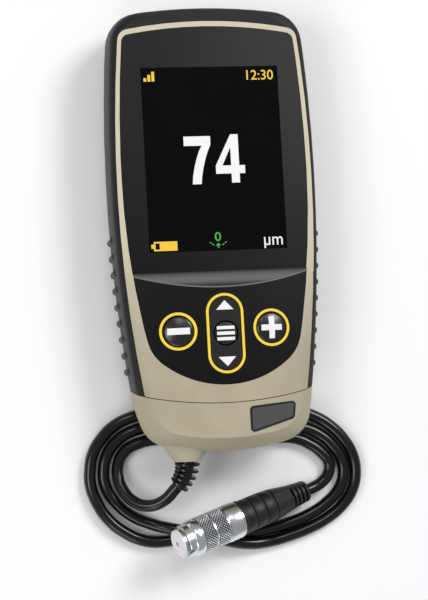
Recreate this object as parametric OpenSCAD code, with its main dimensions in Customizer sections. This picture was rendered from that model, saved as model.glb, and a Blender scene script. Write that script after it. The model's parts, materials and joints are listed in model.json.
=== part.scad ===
// Hand-held coating thickness gauge lying on its back, with a plug-in probe on a cable.
// X runs across the gauge, Y towards its top end, Z out of the display. All sizes are millimetres.

/* [Gauge outline] */
// Overall length, with the probe connector
gauge_l = 140; // [139:0.5:142]
// Width at the widest place
gauge_w = 66; // [65.6:0.2:68]
// How far the widest place lies above the middle
widest_y = 17; // [15:0.5:19]
// Radius of the long sides
side_r = 500; // [480:10:700]
// Radius of the top end
top_r = 175; // [150:5:240]
// Radius of the lower end
end_r = 80; // [75:5:110]
// Radius of the outline's corners
corner_r = 10; // [8:0.5:11]
// Width of the rounding along the back edge
back_edge_w = 7; // [6:0.25:8]
// Height of the rounding along the back edge
back_edge_h = 10; // [8:0.25:11]
// Height of the jacket's front shoulder
shoulder_h = 20.6; // [20.2:0.1:20.8]
// Width of the rounding along the front edge
front_edge_w = 2.4; // [1.8:0.1:2.6]
// Height of the rounding along the front edge
front_edge_h = 8.6; // [6:0.2:9]
// Length of the rise at the back of the lower end
tail_l = 22.5; // [22:0.25:24]
// Height at which that rise ends
tail_h = 15.5; // [15.2:0.1:16.5]

/* [Front face] */
// Height of the flat display face
flat_h = 20.8; // [20.6:0.1:21.2]
// Height of the keypad's crown
crown_h = 25; // [24.8:0.1:25.6]
// Radius of the keypad's crown
crown_r = 110; // [105:1:130]
// Distance of the ledge between display and keypad from the seam
ledge_up = 40.6; // [40.2:0.1:41]
// Slope of that ledge
ledge_slope = 38; // [35:1:44]
// How far the pale rim stands above the panel
rim_h = 0.3; // [0.2:0.05:0.5]
// Width of the jacket's front beside the pale rim
rim_in = 2.4; // [2.2:0.1:2.6]
// Distance of the pale rim from the top end
rim_down = 5.6; // [5:0.1:5.8]
// Width of the pale rim beside the dark panel
rim_w = 1.5; // [1.4:0.1:1.9]
// Width of the pale rim above the dark panel
rim_top_w = 1.7; // [1.6:0.1:2.2]
// Distance of the dark panel from the seam
panel_up = 5.4; // [5:0.1:6]
// Thickness of the dark panel
panel_t = 1.9; // [1.6:0.1:2]
// Width of the display window
window_w = 43.2; // [42:0.2:44]
// Distance of the display window from the panel's top
window_down = 12.8; // [12.4:0.1:13.2]
// Distance of the display window from the ledge
window_up = 6.3; // [6:0.1:6.6]

/* [Housing] */
// Thickness of the rubber jacket
jacket_t = 2; // [1.8:0.05:2.1]
// Lower edge of the rubber jacket
jacket_z = 1.8; // [1.5:0.1:2.2]
// Thickness of the floor
floor_t = 1.8; // [1.7:0.05:2]
// Thickness of the side walls
wall_t = 1.7; // [1.5:0.1:1.9]
// Height of the parting plane of the two shells
part_z = 10.5; // [10:0.1:10.8]
// Length of the probe connector at the middle
connector_l = 15.4; // [15:0.1:16]
// Radius of that seam
seam_r = 132; // [125:1:145]
// How the seam leans towards the top at the back
seam_tilt = 8.5; // [7.5:0.25:9.5]
// Gap at the seam
seam_gap = 0.25; // [0.2:0.05:0.4]
// Distance of the screws from the middle
screw_x = 22; // [21.8:0.1:22.2]
// Distance of the upper screws from the top end
screw_down = 14; // [13:0.1:14.2]
// Distance of the lower screws below the ledge
screw_up = 2.4; // [1:0.1:2.6]
// Radius of the screw shanks
screw_r = 1; // [0.9:0.05:1.1]
// Radius of the screw heads
screw_head_r = 1.9; // [1.7:0.05:2]
// Number of grip pips on each side
pip_count = 9; // [7:1:9]
// Distance between the grip pips
pip_pitch = 5.1; // [4.6:0.1:5.2]
// Radius of a grip pip
pip_r = 1.2; // [1:0.1:1.3]

/* [Keys] */
// Distance of the minus and plus keys from the middle
key_x = 14.5; // [14:0.1:14.8]
// Distance of the keys from the seam
key_up = 22.2; // [21.8:0.1:22.6]
// Distance of the rocker's middle below the keys
rocker_down = 1.2; // [0.8:0.1:1.4]
// Radius of the minus and plus keys
key_r = 4.7; // [4.4:0.1:4.8]
// Half length of the rocker between its end arcs
rocker_half = 6.5; // [6:0.1:6.7]
// Radius of the menu key in the rocker
menu_r = 3.6; // [3.4:0.1:3.7]
// Width of the yellow rings
ring_w = 0.85; // [0.75:0.05:1]
// How far the keys stand above the panel
key_proud = 0.4; // [0.3:0.05:0.6]
// Gap around a key
key_gap = 0.25; // [0.2:0.05:0.35]

/* [Battery bay] */
// Diameter of a cell
cell_d = 10.5; // [10.1:0.1:10.6]
// Length of a cell, with its nub
cell_l = 44.5; // [43.5:0.1:44.5]
// Distance between the cells' axes
cell_pitch = 11; // [10.9:0.1:11.2]
// Distance of the cells from the top end
cell_down = 13.5; // [13.1:0.1:13.9]
// Thickness of the battery door
door_t = 1.5; // [1.3:0.05:1.5]
// How far the door lies above the rest plane
door_lift = 0.15; // [0.1:0.01:0.2]
// Gap around the door
door_gap = 0.25; // [0.2:0.05:0.35]

/* [Probe connector] */
// Half width of the plug
plug_half_w = 9; // [8.5:0.1:9.4]
// Thickness of the plug
plug_t = 3.2; // [2.8:0.1:3.3]
// Height of the plug's middle
plug_z = 11.4; // [11.3:0.05:11.6]
// How far the plug reaches into its socket
plug_reach = 6; // [5:0.2:6.4]
// Place of the cable outlet across the connector
outlet_x = -12.4; // [-12.6:0.1:-12.2]
// Height of the cable outlet
outlet_z = 14; // [13.9:0.1:14.2]
// Radius of the cable outlet
outlet_r = 4.5; // [4.2:0.1:4.7]
// How far the cable outlet stands out of the lower end
outlet_out = 2.2; // [2:0.1:2.6]
// Cable diameter
cord_d = 3.8; // [3.6:0.05:3.8]

/* [Probe] */
// Length of the probe's boot
boot_l = 24.5; // [24:0.1:25]
// Radius of the boot
boot_r = 5.3; // [5:0.1:5.4]
// Radius of the boot's ribs
boot_rib_r = 3.4; // [3.2:0.1:3.5]
// Length of the ring between boot and barrel
collar_l = 1.2; // [0.8:0.1:1.4]
// Radius of the barrel
barrel_r = 5.8; // [5.6:0.05:5.8]
// Length of the barrel
barrel_l = 5.4; // [5:0.1:5.8]
// Length of the knurled sleeve
sleeve_l = 14.6; // [14.4:0.1:15]
// Radius of the plunger
plunger_r = 4.4; // [4.2:0.05:4.5]
// How far the plunger stands out
plunger_out = 2; // [1.8:0.1:2.4]
// Gap round the plunger
plunger_gap = 0.1; // [0.06:0.01:0.15]
// Length of a knurled band
knurl_l = 4; // [3.6:0.1:4]
// Number of teeth in the knurl
knurl_count = 40; // [24:2:44]
// Depth of the knurl
knurl_depth = 0.35; // [0.2:0.05:0.4]
// Direction of the probe on the surface
probe_heading = 196.5; // [196.3:0.1:196.7]
// Rise of the probe from its boot to its tip
probe_rise = 16.2; // [16:0.1:16.4]

/* [Hidden] */
$fn = 48;
// Thin layer that carries a level of the outer form
layer = 0.02;
// Reach of cutting bodies
far = 200;
// Clearance of faces that only have to be free of each other
fit = 0.1;
// Length of a straight stretch in the outline's long arcs
facet = 12;

// Places along the gauge, from its ends and from the seam
seam_y = connector_l - gauge_l / 2;
ledge_y = seam_y + ledge_up;
key_y = seam_y + key_up;
rocker_y = key_y - rocker_down;
panel_end_y = seam_y + panel_up;
rim_top_y = gauge_l / 2 - rim_down;
panel_top_y = rim_top_y - rim_top_w;
rim_half_w = gauge_w / 2 - rim_in;
panel_half_w = rim_half_w - rim_w;
window_top = panel_top_y - window_down;
window_low = ledge_y + window_up;
window_l = window_top - window_low;
window_y = (window_top + window_low) / 2;
screw_top_y = gauge_l / 2 - screw_down;
screw_low_y = ledge_y - screw_up;
cell_y = gauge_l / 2 - cell_down - cell_l;
outlet_y = -gauge_l / 2 - outlet_out;

// Shares of the edge roundings at which the outer form is set
back_steps = [0, 0.1, 0.3, 0.6, 1];
front_steps = [0, 0.45, 0.75, 0.92, 1];
// Exponent of the rise at the back of the lower end
tail_curve = 1.2;
// How far the shells stay below the jacket's front shoulder
jacket_drop = 0.8 * jacket_t;
// Inset at which the crown starts to round off on the lower part
crown_inset = 4.5;
// Radii of the rim's and the panel's sides, above and below their widest place
rim_side_r = 425;
panel_low_r = 260;
rim_widest_y = 15;
// Radius of the rim's and the panel's top, and of the panel's lower end
rim_top_r = 140;
panel_end_r = 30.5;
rim_corner_r = 3.5;
panel_corner_r = 2.5;
panel_low_corner_r = 12;
// Lower edge of the rim's own wall
rim_z = 16.5;
// How far the flat rim runs on below the ledge's upper edge
ledge_overlap = 1.5;

// Inset of the shells' inside from the outline, and of the floor's rounded border
wall_draft = 0.5;
floor_border = 2.3;
inside_in = jacket_t + wall_t + wall_draft;
floor_in = inside_in + floor_border;
// Height where the wall passes into that border
border_z = 5.5;
// Underside of the front shell's roof below the panel's face
roof_d = panel_t + wall_t;

// Stack of door, cells, board and display
cell_lift = 0.4;
cell_head = 1.5;
cell_z = floor_t + cell_lift + cell_d / 2;
board_z = cell_z + cell_d / 2 + cell_head;
board_t = 1.6;
board_w = 37;
board_up = 10.1;
board_down = 8.5;
lcd_z = board_z + board_t;
lcd_t = 2.8;
lcd_side = 1.4;
lcd_end = 2.2;
lcd_w = window_w + 2 * lcd_side;
lcd_l = window_l + 2 * lcd_end;
mat_t = 0.8;
mat_z = board_z + board_t;

// Battery bay, its contacts and its door
bay_side = 0.3;
bay_w = 3 * cell_pitch + 2 * bay_side;
contact_t = 0.5;
spring_l = 3.4;
bay_y0 = cell_y - spring_l - contact_t - fit;
bay_y1 = cell_y + cell_l + contact_t + fit;
bay_wall = 1.2;
frame_t = 1.2;
door_side = 1.7;
door_foot = 2.6;
door_head = 2;
door_w = bay_w + 2 * door_side;
door_y0 = bay_y0 - door_foot;
door_y1 = bay_y1 + door_head;
hinge_r = door_t / 2;
hinge_y = door_y0 + hinge_r;
hinge_z = door_lift + hinge_r;
pin_r = 0.5;
pin_gap = 0.05;
pin_l = 1.4;

nub_h = 0.8;
nub_r = 2.7;
plate_half = 4.6;
contact_coil_r = 3;
contact_wire = 0.3;
turn_steps = 8;
wire_sides = 5;
// Thumb recess in the door's outside
thumb_in = 6;
thumb_r = 12;
thumb_depth = 0.5;
thumb_w = 16;
// Beeper under the board
beeper_x = 10;
beeper_up = 12.4;
beeper_r = 6;
beeper_h = 3.4;
// Keypad mat
mat_w = 39;
mat_l = 24;
post_r = 1.6;

// Grip pips on the jacket's sides
pip_up = 11.2;
pip_z = 6;
pip_h = 9;
pip_sunk = 0.7;

// Screw bosses and the cross in the screws' heads
cross_half = 1.2;
cross_w = 0.5;
boss_r = 2.9;
head_t = 1.6;
head_lift = 0.3;
shank_top = 17;
pilot_gap = 0.05;

// Keys and the rocker's pivot
key_lift = 2.6;
key_base = mat_z + key_lift;
key_travel = 0.8;
flange_w = 0.8;
pivot_r = 0.6;
pivot_depth = 2.75;
pivot_z = crown_h - pivot_depth;
pivot_in = 1.2;
rocker_depth = 3.8;
menu_gap = 0.3;
menu_flange_w = 0.9;
menu_depth = 5.4;
menu_base = crown_h - menu_depth;
flange_t = 0.8;
dome_h = 0.9;
dome_in = 1;
ring_depth = 0.8;
ring_proud = 0.2;
ring_r = key_r + key_gap;

// Socket at the gauge's lower end and the plug of the connector
seam_plug_y = seam_y + (crown_h - plug_z) * tan(seam_tilt);
end_wall = 2;
end_gap = 1.2;
socket_y = seam_plug_y + end_wall + end_gap;
socket_wall = 1.4;
plug_gap = 0.2;
plug_back = 8;
plug_tip_y = socket_y + plug_reach;
plug_top = plug_z + plug_t / 2;
pin_count = 8;
strip_pitch = 2;
strip_w = 1.2;
strip_l = 5;
// Room in the connector above its plug, and the boss round its outlet
room_half_w = 18;
room_end = 6.5;
room_wall = 1.9;
room_y0 = room_end - gauge_l / 2;
room_y1 = seam_y - room_wall;
room_top = 19.5;
board_gap = 1;
outlet_taper = 0.3;
outlet_in = 8.6;
boss_lip = 0.6;
boss_up = 2;
boss_wide = 2.2;

// Port at the top end and its cover
port_w = 9;
port_h = 3.2;
port_l = 7;
port_wall = 0.4;
port_back = 1;
port_tongue = 3.2;
cover_gap = 0.3;
port_y = gauge_l / 2 - inside_in - cover_gap;
cover_w = 11.2;
cover_h = 6.4;
cover_z = 9;
cover_t = 1.7;
cover_out = 0.1;
nail_w = 5;
nail_h = 1.2;
nail_depth = 0.6;
cover_y = gauge_l / 2 - jacket_t + cover_out;
cover_hinge_r = cover_t / 2;

// Bare plate on the connector, following the slant of its edge
plate_in = 12;
plate_w = 14.8;
plate_up = 5.6;
plate_rise = 3.9;
plate_lean = 0.7;
plate_h_left = 8.1;
plate_h_right = 5.3;
plate_corner_r = 1.2;
plate_right = gauge_w / 2 - plate_in;
plate_left = plate_right - plate_w;
plate_low = plate_up - gauge_l / 2;
plate_corners = [[plate_left, plate_low], [plate_right - plate_lean, plate_low + plate_rise],
    [plate_right, plate_low + plate_rise + plate_h_right], [plate_left, plate_low + plate_h_left]];
plate_sunk = 0.5;
plate_proud = 0.2;

// Probe, measured along its axis from the end of its boot
probe_x = 26.8;
probe_y = -84.2;
probe_start = [probe_x, probe_y, boot_rib_r * cos(probe_rise)];
barrel_s = boot_l + collar_l;
sleeve_s = barrel_s + barrel_l;
face_s = sleeve_s + sleeve_l + plunger_out;
face_t = 0.9;
spigot_l = 2;
spigot_step = 0.6;
spigot_r = barrel_r - spigot_step;
bore_r = plunger_r + plunger_gap;
chamber_step = 0.25;
chamber_r = bore_r + chamber_step;
barrel_wall = 1.4;
chamber_s = barrel_s + barrel_wall;
flange_l = 1;
flange_play = 0.15;
flange_s = sleeve_s + spigot_l - flange_l - flange_play;
spring_wire = 0.35;
spring_turns = 3;
ruby_r = 0.75;
coil_wall = 1;
coil_r = plunger_r - coil_wall;
coil_l = 6;
rib_count = 5;
rib_pitch = 1.5;
rib_depth = 0.7;
rib_grow = 0.2;
taper_l = 7;
edge = 0.3;
probe_coil_r = 3.6;
ruby_out = 0.15;
ruby_ball = 2;
notch_w = 3;
groove_l = 0.6;
band_l = 2.6;
nose_step = 0.7;
nose_r = barrel_r - nose_step;

// Strain relief, from the outlet to the first point of the cord
relief_core = 2.2;
relief_rib = 3.9;
relief_ribs = 4;
relief_sides = 16;
relief_in = 3;
relief_lead = 4.6;
relief_gap = 0.3;
rib_first = 0.1;
rib_step = 0.235;
rib_share = 0.09;
rib_edge = 0.01;
relief_taper = 0.25;

// Route of the cord: out of the relief, two turns on the surface, and into the boot
cord_sides = 8;
cord_lead = 3.1;
cord_end = [for (k = [cord_lead, 0]) probe_start - k * probe_axis(probe_heading, probe_rise)];
cord_route = concat([
    [-15.6, -79.8, 12.4], [-20.2, -84.2, 10.6], [-24.8, -85.4, 8.4], [-29, -83.8, 6],
    [-31.8, -80.2, 4], [-33, -76, 2.6], [-32.6, -72, 2], [-30.8, -68.8, 1.9], [-27.4, -66.6, 1.9],
    [-19, -65, 2.6], [-9, -64.6, 4.6], [2, -64, 5.8], [12, -62.8, 5], [20, -62.6, 3.2], [27, -63.8, 2],
    [33, -66.6, 1.9], [37, -70.4, 1.9], [39.4, -74.6, 1.9], [40, -79.4, 1.9], [38.2, -84.2, 1.9],
    [34, -88.4, 1.9], [28, -91.8, 1.9], [21, -94.2, 1.9], [14, -95.6, 1.9], [6, -96.2, 1.9],
    [-2, -95.8, 1.9], [-10, -95.8, 1.9], [-18, -97.2, 1.9], [-25, -96.8, 1.9], [-31.4, -93.8, 1.9],
    [-36.8, -89, 1.9], [-40, -83.6, 1.9], [-41.6, -78.6, 1.9], [-41.6, -73.4, 1.9], [-40.4, -68.4, 1.9],
    [-37.4, -63.8, 1.9], [-33.4, -60.2, 1.9], [-28.6, -58, 1.9], [-20, -56.6, 1.9], [-9, -56.2, 1.9],
    [2, -56.2, 1.9], [13, -56.4, 1.9], [23, -57.6, 1.9], [31, -60.4, 1.9], [36.6, -64, 1.9],
    [40.8, -68.6, 1.9], [43.4, -73.8, 1.9], [44, -79.4, 1.9], [42.6, -84.8, 1.9], [39, -89.6, 1.9],
    [33.8, -93.4, 1.9], [27.6, -96.2, 1.9], [21, -98.2, 1.9], [14, -99.6, 1.9], [7, -99.6, 3.2],
    [0, -98, 5.2], [-8, -95.4, 5.8], [-16, -93.6, 4.6], [-23, -91.6, 2.6], [-29.2, -88.6, 1.9],
    [-33.8, -84.4, 1.9], [-36.8, -79.4, 1.9], [-37.4, -74, 1.9], [-36, -69, 1.9], [-32.8, -65, 1.9],
    [-28.4, -62.4, 1.9], [-20, -60.8, 1.9], [-10, -60.8, 1.9], [0, -62, 1.9], [9, -64.4, 1.9],
    [17, -66.4, 1.9], [25, -67.4, 1.9], [29.4, -69.4, 1.9], [33, -72.2, 1.9], [35.4, -75.8, 1.9],
    [34.6, -79.8, 1.9], [32.4, -82, 2]
], cord_end);

// Rounding of the outline's edge at height z, at the back and at the front
function back_in(z) =
    z >= back_edge_h ? 0 : back_edge_w * (1 - sqrt(1 - pow(1 - z / back_edge_h, 2)));
function front_in(share) = front_edge_w * (1 - sqrt(1 - share * share));
function front_z(share) = shoulder_h - front_edge_h * (1 - share);
function tail_at(z) = tail_l * pow(1 - min(1, z / tail_h), tail_curve);
// Half width of the gauge at place y, at its widest height
function half_w(y) = gauge_w / 2 - pow(y - widest_y, 2) / (2 * side_r);
function unit(v) = v / norm(v);
// Stretch of half length h about place c
function about(c, h) = [c - h, c + h];
function probe_axis(heading, rise) = [cos(rise) * cos(heading), cos(rise) * sin(heading), sin(rise)];

// Ring of points round point p across direction t
function ring_at(p, t, r, sides) =
    let (across = unit(cross(t, [0, 0, 1])), over = cross(across, t))
    [for (k = [0 : sides - 1]) p + r * (cos(360 * k / sides) * across + sin(360 * k / sides) * over)];

// Tube along a list of points, with a radius at each of them
module sweep(route, radii, sides) {
    last = len(route) - 1;
    rings = [for (i = [0 : last])
        let (t = unit(route[min(i + 1, last)] - route[max(i - 1, 0)]))
        each ring_at(route[i], t, radii[i], sides)];
    walls = [for (i = [0 : last - 1], k = [0 : sides - 1])
        let (a = i * sides + k, b = i * sides + (k + 1) % sides)
        each [[a, b, b + sides], [a, b + sides, a + sides]]];
    first_cap = [for (k = [sides - 1 : -1 : 0]) k];
    last_cap = [for (k = [0 : sides - 1]) last * sides + k];
    polyhedron(points = rings, faces = concat(walls, [first_cap, last_cap]));
}

// Strip between two arcs of radius r, widest at place y
module lens(half, y, r) {
    intersection() {
        translate([half - r, y])
            circle(r = r, $fn = round(2 * PI * r / facet));
        translate([r - half, y])
            circle(r = r, $fn = round(2 * PI * r / facet));
    }
}

// Sides of an outline that bulges with one radius above its widest place and another below
module bulged(half, y, r_above, r_below) {
    intersection() {
        lens(half, y, r_above);
        translate([-far, y])
            square([2 * far, far]);
    }
    intersection() {
        lens(half, y, r_below);
        translate([-far, y - far])
            square([2 * far, far]);
    }
}

module arch(y, r) {
    translate([0, y - r])
        circle(r = r, $fn = round(4 * PI * r / facet));
}

module rounded(r) {
    offset(r = r, $fn = 32)
        offset(delta = -r)
            children();
}

// Outline of the gauge, drawn in by an inset and cut back at the lower end by a tail
module plan(inset, tail = 0) {
    offset(r = corner_r, $fn = 32)
        offset(delta = -corner_r - inset)
            intersection() {
                lens(gauge_w / 2, widest_y, side_r);
                arch(gauge_l / 2, top_r);
                translate([0, tail - gauge_l / 2 + end_r])
                    circle(r = end_r, $fn = round(4 * PI * end_r / facet));
            }
}

module rim_outline(clear = 0) {
    offset(delta = clear)
        rounded(rim_corner_r)
            intersection() {
                bulged(rim_half_w, rim_widest_y, rim_side_r, rim_side_r);
                arch(rim_top_y, rim_top_r);
            }
}

module panel_shape() {
    intersection() {
        bulged(panel_half_w, widest_y, rim_side_r, panel_low_r);
        arch(panel_top_y, rim_top_r);
        union() {
            translate([0, panel_end_y + panel_end_r])
                circle(r = panel_end_r, $fn = 64);
            translate([-far, panel_end_y + panel_end_r])
                square([2 * far, far]);
        }
    }
}

// Panel with small corners at its top and wide ones at its lower end
module panel_outline(clear = 0) {
    offset(delta = clear) {
        intersection() {
            rounded(panel_corner_r)
                panel_shape();
            translate([-far, ledge_y])
                square([2 * far, far]);
        }
        intersection() {
            rounded(panel_low_corner_r)
                panel_shape();
            translate([-far, ledge_y - far])
                square([2 * far, far]);
        }
    }
}

module plate_outline(clear = 0) {
    offset(delta = clear)
        rounded(plate_corner_r)
            polygon(plate_corners);
}

// Level of the outer form below place y_max
module level(z, inset, y_max) {
    translate([0, 0, z])
        linear_extrude(layer)
            intersection() {
                plan(inset, tail_at(z));
                translate([-far, y_max - 2 * far])
                    square(2 * far);
            }
}

// All levels, drawn in by an inset, with the front lowered by a drop
module levels(inset, drop, y_max) {
    for (share = back_steps)
        level(back_edge_h * share, back_in(back_edge_h * share) + inset, y_max);
    for (share = front_steps)
        level(front_z(share) - drop, front_in(share) + inset, y_max);
}

module outer_form() {
    hull()
        levels(0, 0, far);
}

// Outside of the two shells, under the jacket
module shell_form() {
    hull()
        levels(jacket_t, jacket_drop, far);
}

module crown_body(d) {
    translate([0, far, crown_h - crown_r])
        rotate([90, 0, 0])
            cylinder(r = crown_r + d, h = 2 * far, $fn = 120);
}

// Lower part of the gauge, rounded from the crown to its sides, with the connector
module lower_form() {
    hull() {
        levels(0, 0, ledge_y);
        intersection() {
            crown_body(rim_h);
            translate([0, 0, shoulder_h])
                linear_extrude(far)
                    intersection() {
                        plan(crown_inset);
                        translate([-far, ledge_y - 2 * far])
                            square(2 * far);
                    }
        }
    }
}

module slab(z0, z1, y0 = -far, y1 = far) {
    translate([-far, y0, z0])
        cube([2 * far, y1 - y0, z1 - z0]);
}

module block(x, y, z) {
    translate([x[0], y[0], z[0]])
        cube([x[1] - x[0], y[1] - y[0], z[1] - z[0]]);
}

// Everything behind the slope of the ledge
module ledge_side(d) {
    translate([0, ledge_y, flat_h])
        rotate([-ledge_slope, 0, 0])
            slab(-far, d);
}

// Everything below the panel's face, raised by d
module front_block(d) {
    slab(-far, flat_h + d);
    intersection() {
        crown_body(d);
        ledge_side(d);
    }
}

// Everything on the gauge's side of the seam, with the seam moved by d
module body_side(d) {
    translate([0, seam_y, crown_h])
        rotate([seam_tilt, 0, 0])
            translate([0, seam_r, -far / 2])
                cylinder(r = seam_r + d, h = far, $fn = 180);
}

// Pale rim round the panel, and the pale face below it
module rim_solid() {
    intersection() {
        translate([0, 0, rim_z])
            linear_extrude(far)
                rim_outline();
        union() {
            slab(0, flat_h + rim_h, ledge_y - ledge_overlap);
            intersection() {
                lower_form();
                ledge_side(rim_h);
            }
        }
    }
}

// Outside of the whole gauge
module gauge_form() {
    outer_form();
    intersection() {
        lower_form();
        ledge_side(rim_h);
    }
}

module at_screws() {
    $fn = 24;
    for (x = [-screw_x, screw_x], y = [screw_low_y, screw_top_y])
        translate([x, y, 0])
            children();
}

module at_keys() {
    for (x = [-key_x, key_x])
        translate([x, key_y, 0])
            children();
}

// Upright prism with round ends, half a width of r
module pill(r, h) {
    linear_extrude(h) {
        for (y = [-rocker_half, rocker_half])
            translate([0, y])
                circle(r = r);
        square([2 * r, 2 * rocker_half], center = true);
    }
}

module at_rocker() {
    translate([0, rocker_y, 0])
        children();
}

module rocker_pins(r, half) {
    translate([-half, 0, pivot_z])
        rotate([0, 90, 0])
            cylinder(r = r, h = 2 * half);
}

// Opening in the gauge's end wall for the plug
module plug_opening() {
    block(about(0, plug_half_w + plug_gap + fit), [seam_y - plug_back, socket_y],
        about(plug_z, plug_t / 2 + plug_gap));
}

module front_shell() {
    color("#cdc19d")
        difference() {
            union() {
                difference() {
                    intersection() {
                        union() {
                            intersection() {
                                shell_form();
                                slab(part_z, far);
                            }
                            rim_solid();
                        }
                        body_side(0);
                    }
                    intersection() {
                        translate([0, 0, part_z - 1])
                            linear_extrude(far)
                                plan(inside_in, tail_at(border_z));
                        front_block(-roof_d);
                        body_side(-end_wall);
                    }
                }
                intersection() {
                    at_screws()
                        translate([0, 0, part_z])
                            cylinder(r = boss_r, h = far);
                    front_block(-panel_t - wall_t / 2);
                }
            }
            difference() {
                linear_extrude(far)
                    panel_outline(fit);
                front_block(-panel_t);
            }
            block(about(0, lcd_w / 2 + fit), about(window_y, lcd_l / 2 + fit), [part_z, far]);
            at_screws()
                translate([0, 0, part_z - 1])
                    cylinder(r = screw_r + pilot_gap, h = shank_top + 1 + fit - part_z);
            at_keys()
                translate([0, 0, part_z])
                    cylinder(r = ring_r, h = far);
            at_rocker() {
                translate([0, 0, part_z])
                    pill(ring_r, far);
                rocker_pins(pivot_r + pin_gap, ring_r + pivot_in + fit);
            }
            plug_opening();
            block(about(0, port_w / 2 + cover_gap), [gauge_l / 2 - inside_in - 1, far],
                [board_z - port_h - cover_gap, board_z + cover_gap]);
        }
}

module back_shell() {
    color("#b4aa8c")
        difference() {
            union() {
                difference() {
                    intersection() {
                        union() {
                            intersection() {
                                outer_form();
                                slab(-1, jacket_z);
                            }
                            intersection() {
                                shell_form();
                                slab(-1, part_z);
                            }
                        }
                        body_side(0);
                    }
                    intersection() {
                        union() {
                            translate([0, 0, floor_t])
                                linear_extrude(far)
                                    plan(floor_in, tail_at(floor_t));
                            translate([0, 0, border_z])
                                linear_extrude(far)
                                    plan(inside_in, tail_at(border_z));
                        }
                        body_side(-end_wall);
                    }
                }
                at_screws()
                    translate([0, 0, floor_t / 2])
                        cylinder(r = boss_r, h = part_z - floor_t / 2);
                block(about(0, door_w / 2 + bay_wall), [door_y0 - bay_wall, door_y1 + bay_wall],
                    [floor_t / 2, floor_t + frame_t]);
                block(about(0, bay_w / 2 + bay_wall), [bay_y0 - bay_wall, bay_y1 + bay_wall],
                    [floor_t / 2, board_z]);
            }
            block(about(0, bay_w / 2), [bay_y0, bay_y1], [-1, far]);
            block(about(0, door_w / 2 + door_gap), [door_y0 - door_gap, door_y1 + door_gap], [-1, floor_t]);
            door_pins(pin_r + pin_gap, door_w / 2 + pin_l + fit);
            at_screws() {
                translate([0, 0, -1])
                    cylinder(r = screw_head_r + fit, h = 1 + head_lift + head_t);
                cylinder(r = screw_r + fit, h = far);
            }
            plug_opening();
        }
}

module rubber_jacket() {
    color("#3a3b3d")
        difference() {
            intersection() {
                union() {
                    gauge_form();
                    for (s = [-1, 1], k = [0 : pip_count - 1])
                        let (y = ledge_y + pip_up - k * pip_pitch)
                        translate([s * (half_w(y) - pip_sunk), y, pip_z])
                            cylinder(r = pip_r, h = pip_h, $fn = 20);
                }
                slab(jacket_z, far);
                body_side(0);
            }
            shell_form();
            translate([0, 0, rim_z - fit])
                linear_extrude(far)
                    rim_outline(fit / 2);
            block(about(0, cover_w / 2 + cover_gap), [gauge_l / 2 - jacket_t - 1, far],
                [cover_z - cover_gap, cover_z + cover_h + cover_gap]);
            plug_opening();
        }
}

module face_panel() {
    color("#2b2c2e")
        difference() {
            intersection() {
                linear_extrude(far)
                    panel_outline();
                front_block(0);
            }
            front_block(-panel_t);
            block(about(0, window_w / 2 + fit / 2), about(window_y, window_l / 2 + fit / 2), [0, far]);
            at_keys()
                cylinder(r = ring_r, h = far);
            at_rocker()
                pill(ring_r, far);
            difference() {
                union() {
                    at_keys()
                        cylinder(r = ring_r + ring_w + fit / 2, h = far);
                    at_rocker()
                        pill(ring_r + ring_w + fit / 2, far);
                }
                front_block(-ring_depth);
            }
        }
}

module display_window() {
    color("#0c0d0f")
        block(about(0, window_w / 2), about(window_y, window_l / 2), [lcd_z + lcd_t, flat_h - fit / 2]);
}

module lcd_module() {
    color("#777a7d")
        block(about(0, lcd_w / 2), about(window_y, lcd_l / 2), [lcd_z, lcd_z + lcd_t]);
}

module main_board() {
    color("#1f6b3a")
        block(about(0, board_w / 2), [seam_y + board_up, gauge_l / 2 - board_down],
            [board_z, board_z + board_t]);
}

module keypad_mat() {
    color("#55585b") {
        block(about(0, mat_w / 2), about(key_y, mat_l / 2), [mat_z, mat_z + mat_t]);
        at_keys()
            translate([0, 0, mat_z + mat_t / 2])
                cylinder(r1 = key_r - dome_in, r2 = key_r - 2 * dome_in, h = mat_t / 2 + dome_h);
        at_rocker() {
            translate([0, 0, mat_z + mat_t / 2])
                cylinder(r = menu_r - dome_in, h = menu_base - key_travel - fit - mat_z - mat_t / 2);
            for (y = [-rocker_half, rocker_half])
                translate([0, y, mat_z + mat_t / 2])
                    cylinder(r = post_r, h = crown_h - rocker_depth - key_travel - mat_z - mat_t / 2);
        }
    }
}

// Round key at the middle of its place, cut to the crown
module round_key(x) {
    intersection() {
        translate([x, key_y, key_base]) {
            cylinder(r = key_r, h = far);
            cylinder(r = ring_r + flange_w, h = flange_t);
        }
        crown_body(key_proud);
    }
}

module minus_key() {
    color("#323335")
        round_key(-key_x);
}

module plus_key() {
    color("#323335")
        round_key(key_x);
}

module nav_rocker() {
    color("#323335")
        at_rocker() {
            intersection() {
                difference() {
                    translate([0, 0, crown_h - rocker_depth])
                        pill(key_r, far);
                    cylinder(r = menu_r + menu_gap, h = far);
                }
                crown_body(key_proud);
            }
            difference() {
                rocker_pins(pivot_r, ring_r + pivot_in);
                cylinder(r = menu_r + menu_gap, h = far);
            }
        }
}

module menu_key() {
    color("#323335")
        at_rocker() {
            translate([0, 0, menu_base])
                cylinder(r = menu_r + menu_flange_w, h = flange_t);
            intersection() {
                translate([0, 0, menu_base])
                    cylinder(r = menu_r, h = far);
                crown_body(key_proud + fit);
            }
        }
}

// Ring set into the panel: what its child draws, between the panel's face and the ring's seat
module set_ring() {
    difference() {
        intersection() {
            children();
            crown_body(ring_proud);
        }
        crown_body(-ring_depth);
    }
}

module round_ring(x) {
    set_ring()
        translate([x, key_y, 0])
            difference() {
                cylinder(r = ring_r + ring_w, h = far);
                translate([0, 0, -1])
                    cylinder(r = ring_r, h = far + 2);
            }
}

module minus_ring() {
    color("#f5c63a")
        round_ring(-key_x);
}

module plus_ring() {
    color("#f5c63a")
        round_ring(key_x);
}

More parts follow.
